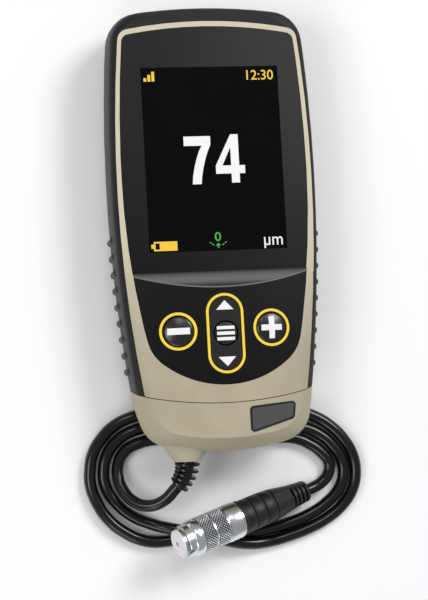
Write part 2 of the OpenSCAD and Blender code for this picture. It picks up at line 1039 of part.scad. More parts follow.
module nav_ring() {
    color("#f5c63a")
        set_ring()
            at_rocker()
                difference() {
                    pill(ring_r + ring_w, far);
                    translate([0, 0, -1])
                        pill(ring_r, far + 2);
                }
}

module door_pins(r, half) {
    translate([-half, hinge_y, hinge_z])
        rotate([0, 90, 0])
            cylinder(r = r, h = 2 * half);
}

module battery_door() {
    color("#a89e80")
        difference() {
            union() {
                block(about(0, door_w / 2), [hinge_y, door_y1], [door_lift, door_lift + door_t]);
                door_pins(hinge_r, door_w / 2);
                door_pins(pin_r, door_w / 2 + pin_l);
            }
            translate([0, door_y1 - thumb_in, door_lift - thumb_r + thumb_depth])
                rotate([0, 90, 0])
                    cylinder(r = thumb_r, h = thumb_w, center = true);
        }
}

// Cell with its nub towards +Z, standing at the origin
module cell() {
    cylinder(d = cell_d, h = cell_l - nub_h);
    cylinder(r = nub_r, h = cell_l);
}

module cell_left() {
    color("#3f6f9f")
        translate([-cell_pitch, cell_y, cell_z])
            rotate([-90, 0, 0])
                cell();
}

module cell_middle() {
    color("#3f6f9f")
        translate([0, bay_y0 + contact_t + fit + cell_l, cell_z])
            rotate([90, 0, 0])
                cell();
}

module cell_right() {
    color("#3f6f9f")
        translate([cell_pitch, cell_y, cell_z])
            rotate([-90, 0, 0])
                cell();
}

module contact_plates() {
    color("#c9ccd0")
        for (x = [-cell_pitch, 0, cell_pitch], y = [bay_y0, bay_y1 - contact_t])
            block(about(x, plate_half), [y, y + contact_t], about(cell_z, plate_half));
}

// Coil of wire standing on the origin
module coil_spring(r, l, turns, wire) {
    steps = turns * turn_steps;
    route = [for (k = [0 : steps])
        let (turn = 360 * k / turn_steps)
        [r * cos(turn), r * sin(turn), l * k / steps]];
    sweep(route, [for (k = [0 : steps]) wire], wire_sides);
}

module contact_springs() {
    color("#c9ccd0") {
        for (x = [-cell_pitch, cell_pitch])
            translate([x, bay_y0 + contact_t + contact_wire, cell_z])
                rotate([-90, 0, 0])
                    coil_spring(contact_coil_r, spring_l - 2 * contact_wire, spring_turns, contact_wire);
        translate([0, bay_y1 - contact_t - contact_wire, cell_z])
            rotate([90, 0, 0])
                coil_spring(contact_coil_r, spring_l - 2 * contact_wire, spring_turns, contact_wire);
    }
}

module body_screws() {
    color("#9a9da1")
        at_screws()
            difference() {
                union() {
                    translate([0, 0, head_lift])
                        cylinder(r = screw_head_r, h = head_t);
                    translate([0, 0, head_lift])
                        cylinder(r = screw_r, h = shank_top - head_lift);
                }
                for (turn = [0, 90])
                    rotate(turn)
                        translate([0, 0, head_lift])
                            cube([2 * cross_half, cross_w, head_t], center = true);
            }
}

module beeper() {
    color("#1d1d1f")
        translate([beeper_x, key_y + beeper_up, board_z - beeper_h])
            cylinder(r = beeper_r, h = beeper_h);
}

module usb_socket() {
    color("#b9bcc0") {
        difference() {
            block(about(0, port_w / 2), [port_y - port_l, port_y], [board_z - port_h, board_z]);
            block(about(0, port_w / 2 - port_wall), [port_y - port_l + port_back, port_y + 1],
                [board_z - port_h + port_wall, board_z - port_wall]);
        }
        block(about(0, port_tongue), [port_y - port_l + port_back - fit, port_y - port_back],
            about(board_z - port_h / 2, port_wall));
    }
}

module usb_cover() {
    color("#333436")
        difference() {
            union() {
                block(about(0, cover_w / 2), [cover_y, cover_y + cover_t],
                    [cover_z + cover_hinge_r, cover_z + cover_h]);
                translate([-cover_w / 2, cover_y + cover_hinge_r, cover_z + cover_hinge_r])
                    rotate([0, 90, 0])
                        cylinder(r = cover_hinge_r, h = cover_w);
            }
            block(about(0, nail_w / 2), [cover_y + cover_t - nail_depth, cover_y + cover_t + 1],
                [cover_z + cover_h - nail_h, cover_z + cover_h + 1]);
        }
}

module probe_socket() {
    color("#202123")
        difference() {
            block(about(0, plug_half_w + plug_gap + socket_wall),
                [socket_y, plug_tip_y + socket_wall + plug_gap],
                [plug_z - plug_t / 2 - plug_gap - socket_wall, board_z]);
            block(about(0, plug_half_w + plug_gap), [socket_y - 1, plug_tip_y + plug_gap],
                about(plug_z, plug_t / 2 + plug_gap));
        }
}

// Boss round the cable outlet, widening into the housing
module outlet_boss() {
    hull() {
        translate([outlet_x, outlet_y, outlet_z])
            rotate([-90, 0, 0])
                cylinder(r = outlet_r - outlet_taper, h = boss_lip);
        translate([outlet_x, outlet_y + outlet_in, outlet_z + boss_up])
            rotate([-90, 0, 0])
                scale([boss_wide, 1, 1])
                    cylinder(r = outlet_r, h = boss_lip);
    }
}

module connector_housing() {
    color("#cdc19d")
        difference() {
            union() {
                difference() {
                    lower_form();
                    body_side(seam_gap);
                }
                outlet_boss();
            }
            block(about(0, plug_half_w + fit), [seam_plug_y - plug_back, far], about(plug_z, plug_t / 2));
            block(about(0, room_half_w), [room_y0, room_y1], [plug_top, room_top]);
            difference() {
                linear_extrude(far)
                    plate_outline(fit / 2);
                crown_body(rim_h - plate_sunk);
            }
            translate([outlet_x, outlet_y - 1, outlet_z])
                rotate([-90, 0, 0])
                    cylinder(r = relief_core + fit, h = relief_in + 1);
        }
}

module connector_plug() {
    color("#1b1c1e")
        block(about(0, plug_half_w), [seam_plug_y - plug_back, plug_tip_y], about(plug_z, plug_t / 2));
}

module contact_pins() {
    color("#c9a24a")
        for (k = [0 : pin_count - 1])
            let (x = (k - (pin_count - 1) / 2) * strip_pitch)
            block(about(x, strip_w / 2), [plug_tip_y - strip_l, plug_tip_y - strip_w],
                [plug_top, plug_top + plug_gap / 2]);
}

module connector_board() {
    color("#1f6b3a")
        block(about(0, room_half_w - board_gap), [room_y0 + fit, room_y1 - board_gap],
            [plug_top, plug_top + board_t]);
}

module badge_plate() {
    color("#4a4b4e")
        difference() {
            intersection() {
                linear_extrude(far)
                    plate_outline();
                crown_body(rim_h + plate_proud);
            }
            crown_body(rim_h - plate_sunk);
        }
}

function bezier(a, b, c, t) = (1 - t) * (1 - t) * a + 2 * t * (1 - t) * b + t * t * c;

module strain_relief() {
    marks = concat([[0, relief_core]],
        [for (k = [0 : relief_ribs - 1])
            let (a = rib_first + k * rib_step, b = a + rib_share, r = relief_rib - k * relief_taper)
            each [[a, relief_core], [a + rib_edge, r], [b, r], [b + rib_edge, relief_core]]],
        [[1, relief_core - relief_taper]]);
    mouth = [outlet_x, outlet_y, outlet_z];
    lead = unit(cord_route[1] - cord_route[0]);
    via = cord_route[0] - relief_lead * lead;
    end = cord_route[0] - relief_gap * lead;
    route = concat([mouth + [0, relief_in, 0]], [for (m = marks) bezier(mouth, via, end, m[0])]);
    color("#2a2b2d")
        sweep(route, concat([relief_core], [for (m = marks) m[1]]), relief_sides);
}

module cord() {
    color("#1c1d1f")
        sweep(cord_route, [for (p = cord_route) cord_d / 2], cord_sides);
}

// Places what is drawn along Z on the axis of the probe
module on_probe() {
    translate(probe_start)
        rotate([0, 90 - probe_rise, probe_heading])
            children();
}

module probe_boot() {
    ribs = [for (k = [0 : rib_count - 1])
        let (s = k * rib_pitch, r = boot_rib_r + k * rib_grow, core = r - rib_depth)
        each [[r, s], [r, s + rib_pitch / 2], [core, s + rib_pitch / 2], [core, s + rib_pitch]]];
    taper_s = rib_count * rib_pitch;
    shape = concat([[0, 0]], ribs, [[boot_r - rib_depth, taper_s + taper_l / 2], [boot_r, taper_s + taper_l],
        [boot_r, boot_l - edge], [boot_r - edge, boot_l], [0, boot_l]]);
    color("#252628")
        on_probe()
            rotate_extrude()
                polygon(shape);
}

module probe_collar() {
    color("#2f3033")
        on_probe()
            translate([0, 0, boot_l])
                cylinder(r = barrel_r - edge, h = collar_l);
}

module probe_barrel() {
    color("#c4c7cb")
        on_probe()
            rotate_extrude()
                polygon([[0, barrel_s], [barrel_r - edge, barrel_s], [barrel_r, barrel_s + edge],
                    [barrel_r, sleeve_s], [spigot_r, sleeve_s], [spigot_r, sleeve_s + spigot_l],
                    [chamber_r, sleeve_s + spigot_l],
                    [chamber_r, chamber_s], [0, chamber_s]]);
}

// Band of straight teeth, standing at s
module knurl(s, l) {
    translate([0, 0, s])
        linear_extrude(l)
            polygon([for (k = [0 : 2 * knurl_count - 1])
                let (r = barrel_r - knurl_depth * (k % 2))
                [r * cos(180 * k / knurl_count), r * sin(180 * k / knurl_count)]]);
}

module probe_sleeve() {
    color("#c4c7cb")
        on_probe()
            difference() {
                union() {
                    translate([0, 0, sleeve_s])
                        cylinder(r = nose_r, h = sleeve_l);
                    knurl(sleeve_s + groove_l, knurl_l);
                    knurl(sleeve_s + knurl_l + 2 * groove_l, knurl_l);
                    translate([0, 0, sleeve_s + 2 * knurl_l + 3 * groove_l])
                        cylinder(r1 = barrel_r, r2 = nose_r + edge, h = band_l);
                }
                translate([0, 0, sleeve_s - 1])
                    cylinder(r = spigot_r, h = spigot_l + 1);
                cylinder(r = bore_r, h = far);
                translate([0, 0, sleeve_s + sleeve_l])
                    rotate([0, 45, 0])
                        cube([notch_w / sqrt(2), far, notch_w / sqrt(2)], center = true);
            }
}

module probe_plunger() {
    seat_s = face_s - face_t;
    flange_r = chamber_r - plunger_gap;
    color("#aeb1b5")
        on_probe()
            rotate_extrude()
                polygon([[0, flange_s], [flange_r, flange_s], [flange_r, flange_s + flange_l],
                    [plunger_r, flange_s + flange_l], [plunger_r, seat_s], [coil_r, seat_s],
                    [coil_r, seat_s - coil_l], [0, seat_s - coil_l]]);
}

module probe_spring() {
    color("#a8abb0")
        on_probe()
            translate([0, 0, chamber_s + spring_wire])
                coil_spring(probe_coil_r, flange_s - chamber_s - 2 * spring_wire, spring_turns, spring_wire);
}

module sensor_coil() {
    color("#a8672f")
        on_probe()
            translate([0, 0, face_s - face_t - coil_l])
                cylinder(r = coil_r, h = coil_l);
}

module wear_face() {
    color("#d5d6d8")
        on_probe()
            rotate_extrude()
                polygon([[ruby_r, face_s - face_t], [plunger_r, face_s - face_t], [plunger_r, face_s - edge],
                    [plunger_r - edge, face_s], [ruby_r, face_s]]);
}

module ruby_tip() {
    color("#c2185b")
        on_probe() {
            translate([0, 0, face_s - face_t])
                cylinder(r = ruby_r, h = face_t);
            translate([0, 0, face_s])
                intersection() {
                    translate([0, 0, ruby_out - ruby_ball])
                        sphere(r = ruby_ball);
                    cylinder(r = ruby_r, h = 1);
                }
        }
}

front_shell();
back_shell();
rubber_jacket();
face_panel();
display_window();
lcd_module();
main_board();
keypad_mat();
minus_key();
plus_key();
nav_rocker();
menu_key();
minus_ring();
plus_ring();
nav_ring();
battery_door();
cell_left();
cell_middle();
cell_right();
contact_plates();
contact_springs();
body_screws();
beeper();
usb_socket();
usb_cover();
probe_socket();
connector_housing();
connector_plug();
contact_pins();
connector_board();
badge_plate();
strain_relief();
cord();
probe_boot();
probe_collar();
probe_barrel();
probe_sleeve();
probe_plunger();
probe_spring();
sensor_coil();
wear_face();
ruby_tip();
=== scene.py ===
"""Coating thickness gauge with its plug-in probe, lying on a pale table.

Lengths are in millimetres and angles in degrees, unless a comment says metres. X runs across the gauge, Y to its top
end and Z out of its display. The origin is on the back face, at the middle of the gauge's length.
"""
import json
import math
import bpy
from mathutils import Matrix, Vector

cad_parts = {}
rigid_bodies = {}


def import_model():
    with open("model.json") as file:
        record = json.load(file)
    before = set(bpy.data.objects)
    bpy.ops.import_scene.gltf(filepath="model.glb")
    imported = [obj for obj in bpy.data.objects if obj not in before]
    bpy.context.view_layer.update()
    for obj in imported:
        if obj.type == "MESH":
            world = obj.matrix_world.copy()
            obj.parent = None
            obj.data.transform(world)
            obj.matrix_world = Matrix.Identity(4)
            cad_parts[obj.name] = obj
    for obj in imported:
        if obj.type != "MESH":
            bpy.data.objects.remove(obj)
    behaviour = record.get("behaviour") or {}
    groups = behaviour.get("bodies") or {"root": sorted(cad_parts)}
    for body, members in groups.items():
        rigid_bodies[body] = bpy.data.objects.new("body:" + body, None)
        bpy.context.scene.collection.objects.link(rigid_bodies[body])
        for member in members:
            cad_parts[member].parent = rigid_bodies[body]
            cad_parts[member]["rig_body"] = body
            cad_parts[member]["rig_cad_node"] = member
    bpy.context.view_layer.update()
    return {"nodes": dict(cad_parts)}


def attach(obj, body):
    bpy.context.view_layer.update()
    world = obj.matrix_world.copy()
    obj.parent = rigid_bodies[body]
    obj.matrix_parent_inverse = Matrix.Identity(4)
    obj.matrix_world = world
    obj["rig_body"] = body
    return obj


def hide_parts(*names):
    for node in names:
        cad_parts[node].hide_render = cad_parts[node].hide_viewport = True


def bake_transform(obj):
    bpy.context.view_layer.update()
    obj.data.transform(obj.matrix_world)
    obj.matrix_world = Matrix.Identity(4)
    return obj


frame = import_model()

MM = 0.001
WELD = 0.000002  # metres: vertices closer than this become one
NODES = frame["nodes"]


# Camera

LENS, SENSOR = 89.07, 36
NEAR, FAR = 0.01, 20  # metres
CAMERA_PLACE = Vector((-77.79, -54.96, 471.22))
CAMERA_RIGHT = Vector((0.98547, -0.05385, 0.16109))
CAMERA_UP = Vector((0.04175, 0.99612, 0.07761))
CAMERA_BACK = Vector((-0.16465, -0.06976, 0.98389))


def set_camera():
    data = bpy.data.cameras.new("camera")
    data.lens = LENS
    data.sensor_width = SENSOR
    data.clip_start, data.clip_end = NEAR, FAR
    camera = bpy.data.objects.new("camera", data)
    bpy.context.scene.collection.objects.link(camera)
    turn = Matrix((CAMERA_RIGHT, CAMERA_UP, CAMERA_BACK)).transposed().to_4x4()
    camera.matrix_world = Matrix.Translation(CAMERA_PLACE * MM) @ turn
    bpy.context.scene.camera = camera


# Cord, from the strain relief's end to the probe's boot

CORD_ROUTE = [
    (-15.6, -79.8, 12.4), (-20.2, -84.2, 10.6), (-24.8, -85.4, 8.4), (-29, -83.8, 6), (-31.8, -80.2, 4),
    (-33, -76, 2.6), (-32.6, -72, 2), (-30.8, -68.8, 1.9), (-27.4, -66.6, 1.9), (-19, -65, 2.6),
    (-9, -64.6, 4.6), (2, -64, 5.8), (12, -62.8, 5), (20, -62.6, 3.2), (27, -63.8, 2), (33, -66.6, 1.9),
    (37, -70.4, 1.9), (39.4, -74.6, 1.9), (40, -79.4, 1.9), (38.2, -84.2, 1.9), (34, -88.4, 1.9),
    (28, -91.8, 1.9), (21, -94.2, 1.9), (14, -95.6, 1.9), (6, -96.2, 1.9), (-2, -95.8, 1.9),
    (-10, -95.8, 1.9), (-18, -97.2, 1.9), (-25, -96.8, 1.9), (-31.4, -93.8, 1.9), (-36.8, -89, 1.9),
    (-40, -83.6, 1.9), (-41.6, -78.6, 1.9), (-41.6, -73.4, 1.9), (-40.4, -68.4, 1.9), (-37.4, -63.8, 1.9),
    (-33.4, -60.2, 1.9), (-28.6, -58, 1.9), (-20, -56.6, 1.9), (-9, -56.2, 1.9), (2, -56.2, 1.9),
    (13, -56.4, 1.9), (23, -57.6, 1.9), (31, -60.4, 1.9), (36.6, -64, 1.9), (40.8, -68.6, 1.9),
    (43.4, -73.8, 1.9), (44, -79.4, 1.9), (42.6, -84.8, 1.9), (39, -89.6, 1.9), (33.8, -93.4, 1.9),
    (27.6, -96.2, 1.9), (21, -98.2, 1.9), (14, -99.6, 1.9), (7, -99.6, 3.2), (0, -98, 5.2),
    (-8, -95.4, 5.8), (-16, -93.6, 4.6), (-23, -91.6, 2.6), (-29.2, -88.6, 1.9), (-33.8, -84.4, 1.9),
    (-36.8, -79.4, 1.9), (-37.4, -74, 1.9), (-36, -69, 1.9), (-32.8, -65, 1.9), (-28.4, -62.4, 1.9),
    (-20, -60.8, 1.9), (-10, -60.8, 1.9), (0, -62, 1.9), (9, -64.4, 1.9), (17, -66.4, 1.9),
    (25, -67.4, 1.9), (29.4, -69.4, 1.9), (33, -72.2, 1.9), (35.4, -75.8, 1.9), (34.6, -79.8, 1.9),
    (32.4, -82, 2), (29.654, -83.354, 2.4), (26.8, -84.2, 3.265)]
CORD_D = 3.8


def lay_cord():
    data = bpy.data.curves.new("cord_line", "CURVE")
    data.dimensions = "3D"
    data.bevel_depth = CORD_D / 2 * MM
    data.bevel_resolution = 4
    data.resolution_u = 5
    data.use_fill_caps = True
    line = data.splines.new("BEZIER")
    line.bezier_points.add(len(CORD_ROUTE) - 1)
    for point, place in zip(line.bezier_points, CORD_ROUTE):
        point.co = Vector(place) * MM
        point.handle_left_type = point.handle_right_type = "AUTO"
    cord = bpy.data.objects.new("probe_cable", data)
    bpy.context.scene.collection.objects.link(cord)
    return cord


# Places that the finishes use as well as the shapes

# The probe's axis: it leans up from the end of the cord
PROBE_START = Vector(CORD_ROUTE[-1]) * MM
PROBE_HEADING = 196.5
PROBE_RISE = 16.2
ON_PROBE = (Matrix.Translation(PROBE_START) @ Matrix.Rotation(math.radians(PROBE_HEADING), 4, "Z")
            @ Matrix.Rotation(math.radians(90 - PROBE_RISE), 4, "Y"))
BARREL_R = 5.8
KNURL_DEPTH = 0.42

# Corners of the bare plate on the connector
BADGE = [(6.2, -64.4), (20.3, -60.5), (21.0, -55.2), (6.2, -56.3)]

# The keypad's crown is a cylinder along Y; a sloping ledge leads up to it from the display's field
CROWN_R = 110.0
CROWN_TOP = 25.0
LEDGE_Y = -14.0
LEDGE_Z = 20.8
LEDGE_SLOPE = math.radians(38)


# Shader maths

class Value:
    """A number socket of a material; sums and products of it add Math nodes."""

    def __init__(self, finish, socket):
        self.finish = finish
        self.socket = socket

    def math(self, operation, *others):
        return self.finish.node("Math", {"operation": operation}, [self, *others])[0]

    def __add__(self, other):
        return self.math("ADD", other)

    __radd__ = __add__

    def __sub__(self, other):
        return self.math("SUBTRACT", other)

    def __rsub__(self, other):
        return (self * -1) + other

    def __mul__(self, other):
        return self.math("MULTIPLY", other)

    __rmul__ = __mul__

    def __truediv__(self, other):
        return self.math("DIVIDE", other)

    def above(self, limit):
        return self.math("GREATER_THAN", limit)

    def below(self, limit):
        return self.math("LESS_THAN", limit)

    def size(self):
        return self.math("ABSOLUTE")

    def between(self, low, high):
        """0 below low, 1 above high, and smooth in between."""
        return self.finish.node("MapRange", {"interpolation_type": "SMOOTHSTEP"}, [self, low, high, 0.0, 1.0])[0]


class Finish:
    """A material with one Principled shader, built up from nodes."""

    def __init__(self, name, **constants):
        self.material = bpy.data.materials.new(name)
        self.material.use_nodes = True
        self.tree = self.material.node_tree
        self.shader = self.tree.nodes["Principled BSDF"]
        self.set(**constants)

    def node(self, kind, settings=None, sockets=()):
        """Adds a node of that kind, sets it up, feeds its sockets in order, and returns its outputs."""
        made = self.tree.nodes.new("ShaderNode" + kind)
        for key, value in (settings or {}).items():
            if key == "stops":
                ramp = made.color_ramp.elements
                while len(ramp) < len(value):
                    ramp.new(0.5)
                for stop, (place, colour) in zip(ramp, value):
                    stop.position = place
                    stop.color = (*colour, 1)
            else:
                setattr(made, key, value)
        feeds = sockets.items() if isinstance(sockets, dict) else enumerate(sockets)
        for key, value in feeds:
            self.feed(made.inputs[key], value)
        return [Value(self, out) for out in made.outputs]

    def feed(self, socket, value):
        if isinstance(value, Value):
            self.tree.links.new(value.socket, socket)
        else:
            socket.default_value = value

    def set(self, **sockets):
        for key, value in sockets.items():
            socket = self.shader.inputs[key.replace("_", " ")]
            if isinstance(value, tuple) and len(value) == 3:
                value = (*value, 1)
            self.feed(socket, value)

    def place(self):
        """The place on the object, in millimetres."""
        spot = self.node("TexCoord")[3]
        return self.node("VectorMath", {"operation": "SCALE"}, {0: spot, "Scale": 1 / MM})[0]

    def split(self, spot):
        """X, Y and Z of a place."""
        return self.node("SeparateXYZ", None, [spot])

    def noise(self, spot, scale, detail, rough=0.55):
        return self.node("TexNoise", None,
                         {"Vector": spot, "Scale": scale, "Detail": detail, "Roughness": rough})[0]

    def blend(self, factor, a, b):
        """A colour between a and b."""
        a = (*a, 1) if isinstance(a, tuple) else a
        b = (*b, 1) if isinstance(b, tuple) else b
        return self.node("Mix", {"data_type": "RGBA"}, {0: factor, 6: a, 7: b})[2]

    def bump(self, height, strength, distance):
        """Fine relief; the distance is in metres."""
        relief = self.node("Bump", None, {"Strength": strength, "Distance": distance, "Height": height})[0]
        self.set(Normal=relief)


def srgb(r, g, b):
    """A colour as a picture holds it, turned into light."""
    return tuple(((c / 255 + 0.055) / 1.055) ** 2.4 if c > 10 else c / 255 / 12.92 for c in (r, g, b))


# Finishes

def beige_plastic():
    """Moulded shell, with a painted highlight that makes it paler along its edge beside the display."""
    f = Finish("beige_plastic", Specular_IOR_Level=0.4)
    spot = f.place()
    y = f.split(spot)[1]
    grain = f.noise(spot, scale=3.2, detail=4)
    cloud = f.noise(spot, scale=0.06, detail=2)
    # Painted highlight: the shell is painted paler towards its upper end, beside the display.
    rim_highlight = y.between(-40.0, 4.0)
    body = f.blend(cloud.between(0.35, 0.65), srgb(172, 163, 139), srgb(179, 170, 146))
    f.set(Base_Color=f.blend(rim_highlight, body, srgb(206, 198, 174)), Roughness=0.46 + grain * 0.14)
    f.bump(grain, strength=0.25, distance=0.00006)
    return f.material


def back_plastic():
    f = Finish("back_plastic", Specular_IOR_Level=0.4)
    spot = f.place()
    grain = f.noise(spot, scale=2.4, detail=5)
    wear = f.noise(spot, scale=0.09, detail=4)
    colour = f.blend(wear.between(0.3, 0.8), srgb(171, 162, 137), srgb(175, 166, 142))
    f.set(Base_Color=colour, Roughness=0.52 + grain * 0.16)
    f.bump(grain, strength=0.25, distance=0.00006)
    return f.material


def jacket_rubber():
    """Scuffed grey sides under a front edge that is painted near black as shade."""
    f = Finish("jacket_rubber", Specular_IOR_Level=0.35)
    spot = f.place()
    z = f.split(spot)[2]
    grain = f.noise(spot, scale=4.0, detail=4)
    scuff = f.noise(spot, scale=0.22, detail=5, rough=0.7).between(0.56, 0.78)
    side = f.blend(scuff, srgb(64, 65, 67), srgb(74, 75, 77))
    # Painted shade: the front edge above the sides is painted near black.
    shoulder_shade = z.between(17.2, 19.4)
    f.set(Base_Color=f.blend(shoulder_shade, side, srgb(17, 17, 18)), Roughness=0.48 + grain * 0.2)
    f.bump(grain, strength=0.3, distance=0.00007)
    return f.material


def panel_film():
    """Dark printed face with a satin slope between display and keypad. The face is painted lighter towards its top
    and right. The slope gets painted shading and a painted highlight line along its top edge.
    """
    f = Finish("panel_film", Specular_IOR_Level=0.1)
    spot = f.place()
    x, y, z = f.split(spot)
    grain = f.noise(spot, scale=5.0, detail=3)
    off = (y - LEDGE_Y) * math.sin(LEDGE_SLOPE) + (z - LEDGE_Z) * math.cos(LEDGE_SLOPE)
    ledge = off.size().below(0.06) * z.above(LEDGE_Z + 0.03)
    climb = (z - LEDGE_Z) / (CROWN_TOP - LEDGE_Z)
    # Painted shading down the slope: dark at its top and bottom, pale in its middle.
    ledge_painted_shading = [(0.0, srgb(44, 44, 45)), (0.22, srgb(96, 96, 96)), (0.42, srgb(110, 110, 109)),
             (0.62, srgb(106, 106, 105)), (0.78, srgb(72, 72, 72)), (0.92, srgb(44, 44, 45))]
    ledge_painted_light = f.node("ValToRGB", {"stops": ledge_painted_shading}, [climb])[0]
    # Painted highlight: a pale line where the slope meets the keypad's crown.
    below_crown = CROWN_TOP - x * x / (2 * CROWN_R) - z
    ledge_painted_light = f.blend(below_crown.below(0.26), ledge_painted_light, srgb(118, 118, 117))
    # Painted light: the face is painted lighter towards its top and towards its right.
    upward_painted_light = y.between(-52.0, 60.0)
    left_painted_shade = f.blend(upward_painted_light, srgb(17, 17, 18), srgb(35, 36, 37))
    right_painted_light = f.blend(upward_painted_light, srgb(21, 21, 22), srgb(54, 55, 56))
    face = f.blend(x.between(-24.0, 34.0), left_painted_shade, right_painted_light)
    f.set(Base_Color=f.blend(ledge, face, ledge_painted_light), Roughness=0.36 + grain * 0.1 + ledge * 0.1)
    f.bump(grain, strength=0.12, distance=0.00003)
    return f.material


def key_plastic():
    f = Finish("key_plastic", Specular_IOR_Level=0.5, Coat_Weight=0.25, Coat_Roughness=0.2)
    grain = f.noise(f.place(), scale=3.0, detail=3)
    f.set(Base_Color=f.blend(grain, srgb(12, 12, 13), srgb(19, 19, 20)), Roughness=0.26 + grain * 0.08)
    f.bump(grain, strength=0.08, distance=0.00003)
    return f.material


def yellow_ring():
    f = Finish("yellow_ring", Specular_IOR_Level=0.4)
    cloud = f.noise(f.place(), scale=0.8, detail=3)
    f.set(Base_Color=f.blend(cloud, srgb(246, 210, 58), srgb(252, 219, 78)), Roughness=0.32 + cloud * 0.1)
    f.bump(cloud, strength=0.1, distance=0.00003)
    return f.material


def white_ink():
    """The signs on the keys, a little uneven."""
    f = Finish("white_ink", Specular_IOR_Level=0.3)
    cloud = f.noise(f.place(), scale=1.5, detail=3)
    f.set(Base_Color=f.blend(cloud, srgb(236, 236, 234), srgb(248, 248, 247)), Roughness=0.45 + cloud * 0.1)
    return f.material


def lit(name, colour):
    """A display's lit segments, with the fine lines of its dots."""
    f = Finish(name, Specular_IOR_Level=0.2, Roughness=0.4, Emission_Strength=0.62)
    lines = f.node("TexWave", {"bands_direction": "Y"}, {"Vector": f.place(), "Scale": 1.6})[1]
    dim = tuple(c * 0.9 for c in colour)
    unlit = tuple(c * 0.35 for c in colour)
    f.set(Base_Color=unlit, Emission_Color=f.blend(lines, dim, colour))
    return f.material


def display_glass():
    f = Finish("display_glass", Specular_IOR_Level=0.1)
    smear = f.noise(f.place(), scale=0.05, detail=4)
    f.set(Base_Color=f.blend(smear, srgb(3, 3, 4), srgb(8, 8, 9)), Roughness=0.12 + smear * 0.1)
    return f.material


def cable_rubber():
    """Glossy black skin of the cable and its relief."""
    f = Finish("cable_rubber", Specular_IOR_Level=0.42)
    grain = f.noise(f.place(), scale=1.8, detail=4)
    f.set(Base_Color=f.blend(grain, srgb(7, 7, 10), srgb(12, 13, 17)), Roughness=0.17 + grain * 0.06)
    f.bump(grain, strength=0.1, distance=0.00004)
    return f.material


def boot_rubber():
    f = Finish("boot_rubber", Specular_IOR_Level=0.45)
    grain = f.noise(f.place(), scale=3.0, detail=4)
    f.set(Base_Color=f.blend(grain, srgb(13, 13, 14), srgb(24, 24, 25)), Roughness=0.38 + grain * 0.14)
    f.bump(grain, strength=0.25, distance=0.00006)
    return f.material


def probe_place(f, spot):
    """Distance from the probe's axis, and the way along it, in millimetres."""
    axis = tuple(ON_PROBE.to_3x3() @ Vector((0, 0, 1)))
    off = f.node("VectorMath", {"operation": "SUBTRACT"}, [spot, tuple(PROBE_START / MM)])[0]
    across = f.node("VectorMath", {"operation": "CROSS_PRODUCT"}, [off, axis])[0]
    radius = f.node("VectorMath", {"operation": "LENGTH"}, [across])[1]
    return radius, f.node("VectorMath", {"operation": "DOT_PRODUCT"}, [off, axis])[1]


def chrome_plate():
    """Plated steel with the fine rings that a lathe leaves."""
    f = Finish("chrome_plate", Metallic=1.0)
    spot = f.place()
    along = probe_place(f, spot)[1]
    smear = f.noise(spot, scale=0.25, detail=4)
    lines = f.node("TexNoise", {"noise_dimensions": "1D"}, {"W": along, "Scale": 3.0, "Detail": 3.0})[0]
    f.set(Base_Color=f.blend(smear, srgb(214, 216, 219), srgb(230, 231, 234)), Roughness=0.16 + lines * 0.16)
    return f.material


def knurled_steel():
    """Satin steel with painted shade in the grooves between the knurl's diamonds."""
    f = Finish("knurled_steel", Metallic=0.75)
    spot = f.place()
    radius = probe_place(f, spot)[0]
    # Painted shade: the steel is painted dark down in the grooves and pale on the diamonds' tops.
    height = radius.between(BARREL_R - KNURL_DEPTH, BARREL_R - 0.12)
    smear = f.noise(spot, scale=0.6, detail=4)
    peak = f.blend(smear, srgb(224, 226, 229), srgb(238, 239, 241))
    f.set(Base_Color=f.blend(height, srgb(58, 59, 62), peak), Roughness=0.3 + smear * 0.12)
    return f.material


def turned_steel(name, dark, pale, rough):
    f = Finish(name, Metallic=1.0)
    spot = f.place()
    smear = f.noise(spot, scale=0.6, detail=4)
    fine = f.noise(spot, scale=6.0, detail=3)
    f.set(Base_Color=f.blend(smear, dark, pale), Roughness=rough + fine * 0.15)
    f.bump(fine, strength=0.1, distance=0.00003)
    return f.material


def badge_face():
    """Grey field inside a black border."""
    f = Finish("badge_plate", Specular_IOR_Level=0.4)
    spot = f.place()
    x, y, _ = f.split(spot)
    inside = None
    for (ax, ay), (bx, by) in zip(BADGE, BADGE[1:] + BADGE[:1]):
        along = Vector((bx - ax, by - ay)).normalized()
        off = (y - ay) * along.x - (x - ax) * along.y
        inside = off if inside is None else inside.math("SMOOTH_MIN", off, 1.0)
    cloud = f.noise(spot, scale=0.9, detail=4)
    field = f.blend(cloud, srgb(66, 67, 69), srgb(74, 75, 77))
    f.set(Base_Color=f.blend(inside.between(0.55, 0.7), srgb(14, 14, 15), field), Roughness=0.4 + cloud * 0.12)
    f.bump(cloud, strength=0.1, distance=0.00004)
    return f.material


def wear_disc():
    f = Finish("wear_disc", Specular_IOR_Level=0.45)
    spot = f.place()
    smear = f.noise(spot, scale=0.5, detail=4)
    fine = f.noise(spot, scale=5.0, detail=4)
    f.set(Base_Color=f.blend(smear, srgb(216, 217, 219), srgb(230, 231, 233)), Roughness=0.34 + fine * 0.15)
    f.bump(fine, strength=0.12, distance=0.00003)
    return f.material


def ruby_stone():
    f = Finish("ruby_stone", Specular_IOR_Level=0.7, Coat_Weight=0.5)
    cloud = f.noise(f.place(), scale=1.2, detail=3)
    f.set(Base_Color=f.blend(cloud, srgb(178, 8, 104), srgb(202, 28, 128)), Roughness=0.12 + cloud * 0.06)
    return f.material


def plain(name, colour, pale, rough):
    """Inner pieces and small trim."""
    f = Finish(name, Specular_IOR_Level=0.4)
    cloud = f.noise(f.place(), scale=0.9, detail=4)
    f.set(Base_Color=f.blend(cloud, colour, pale), Roughness=rough + cloud * 0.12)
    f.bump(cloud, strength=0.1, distance=0.00004)
    return f.material


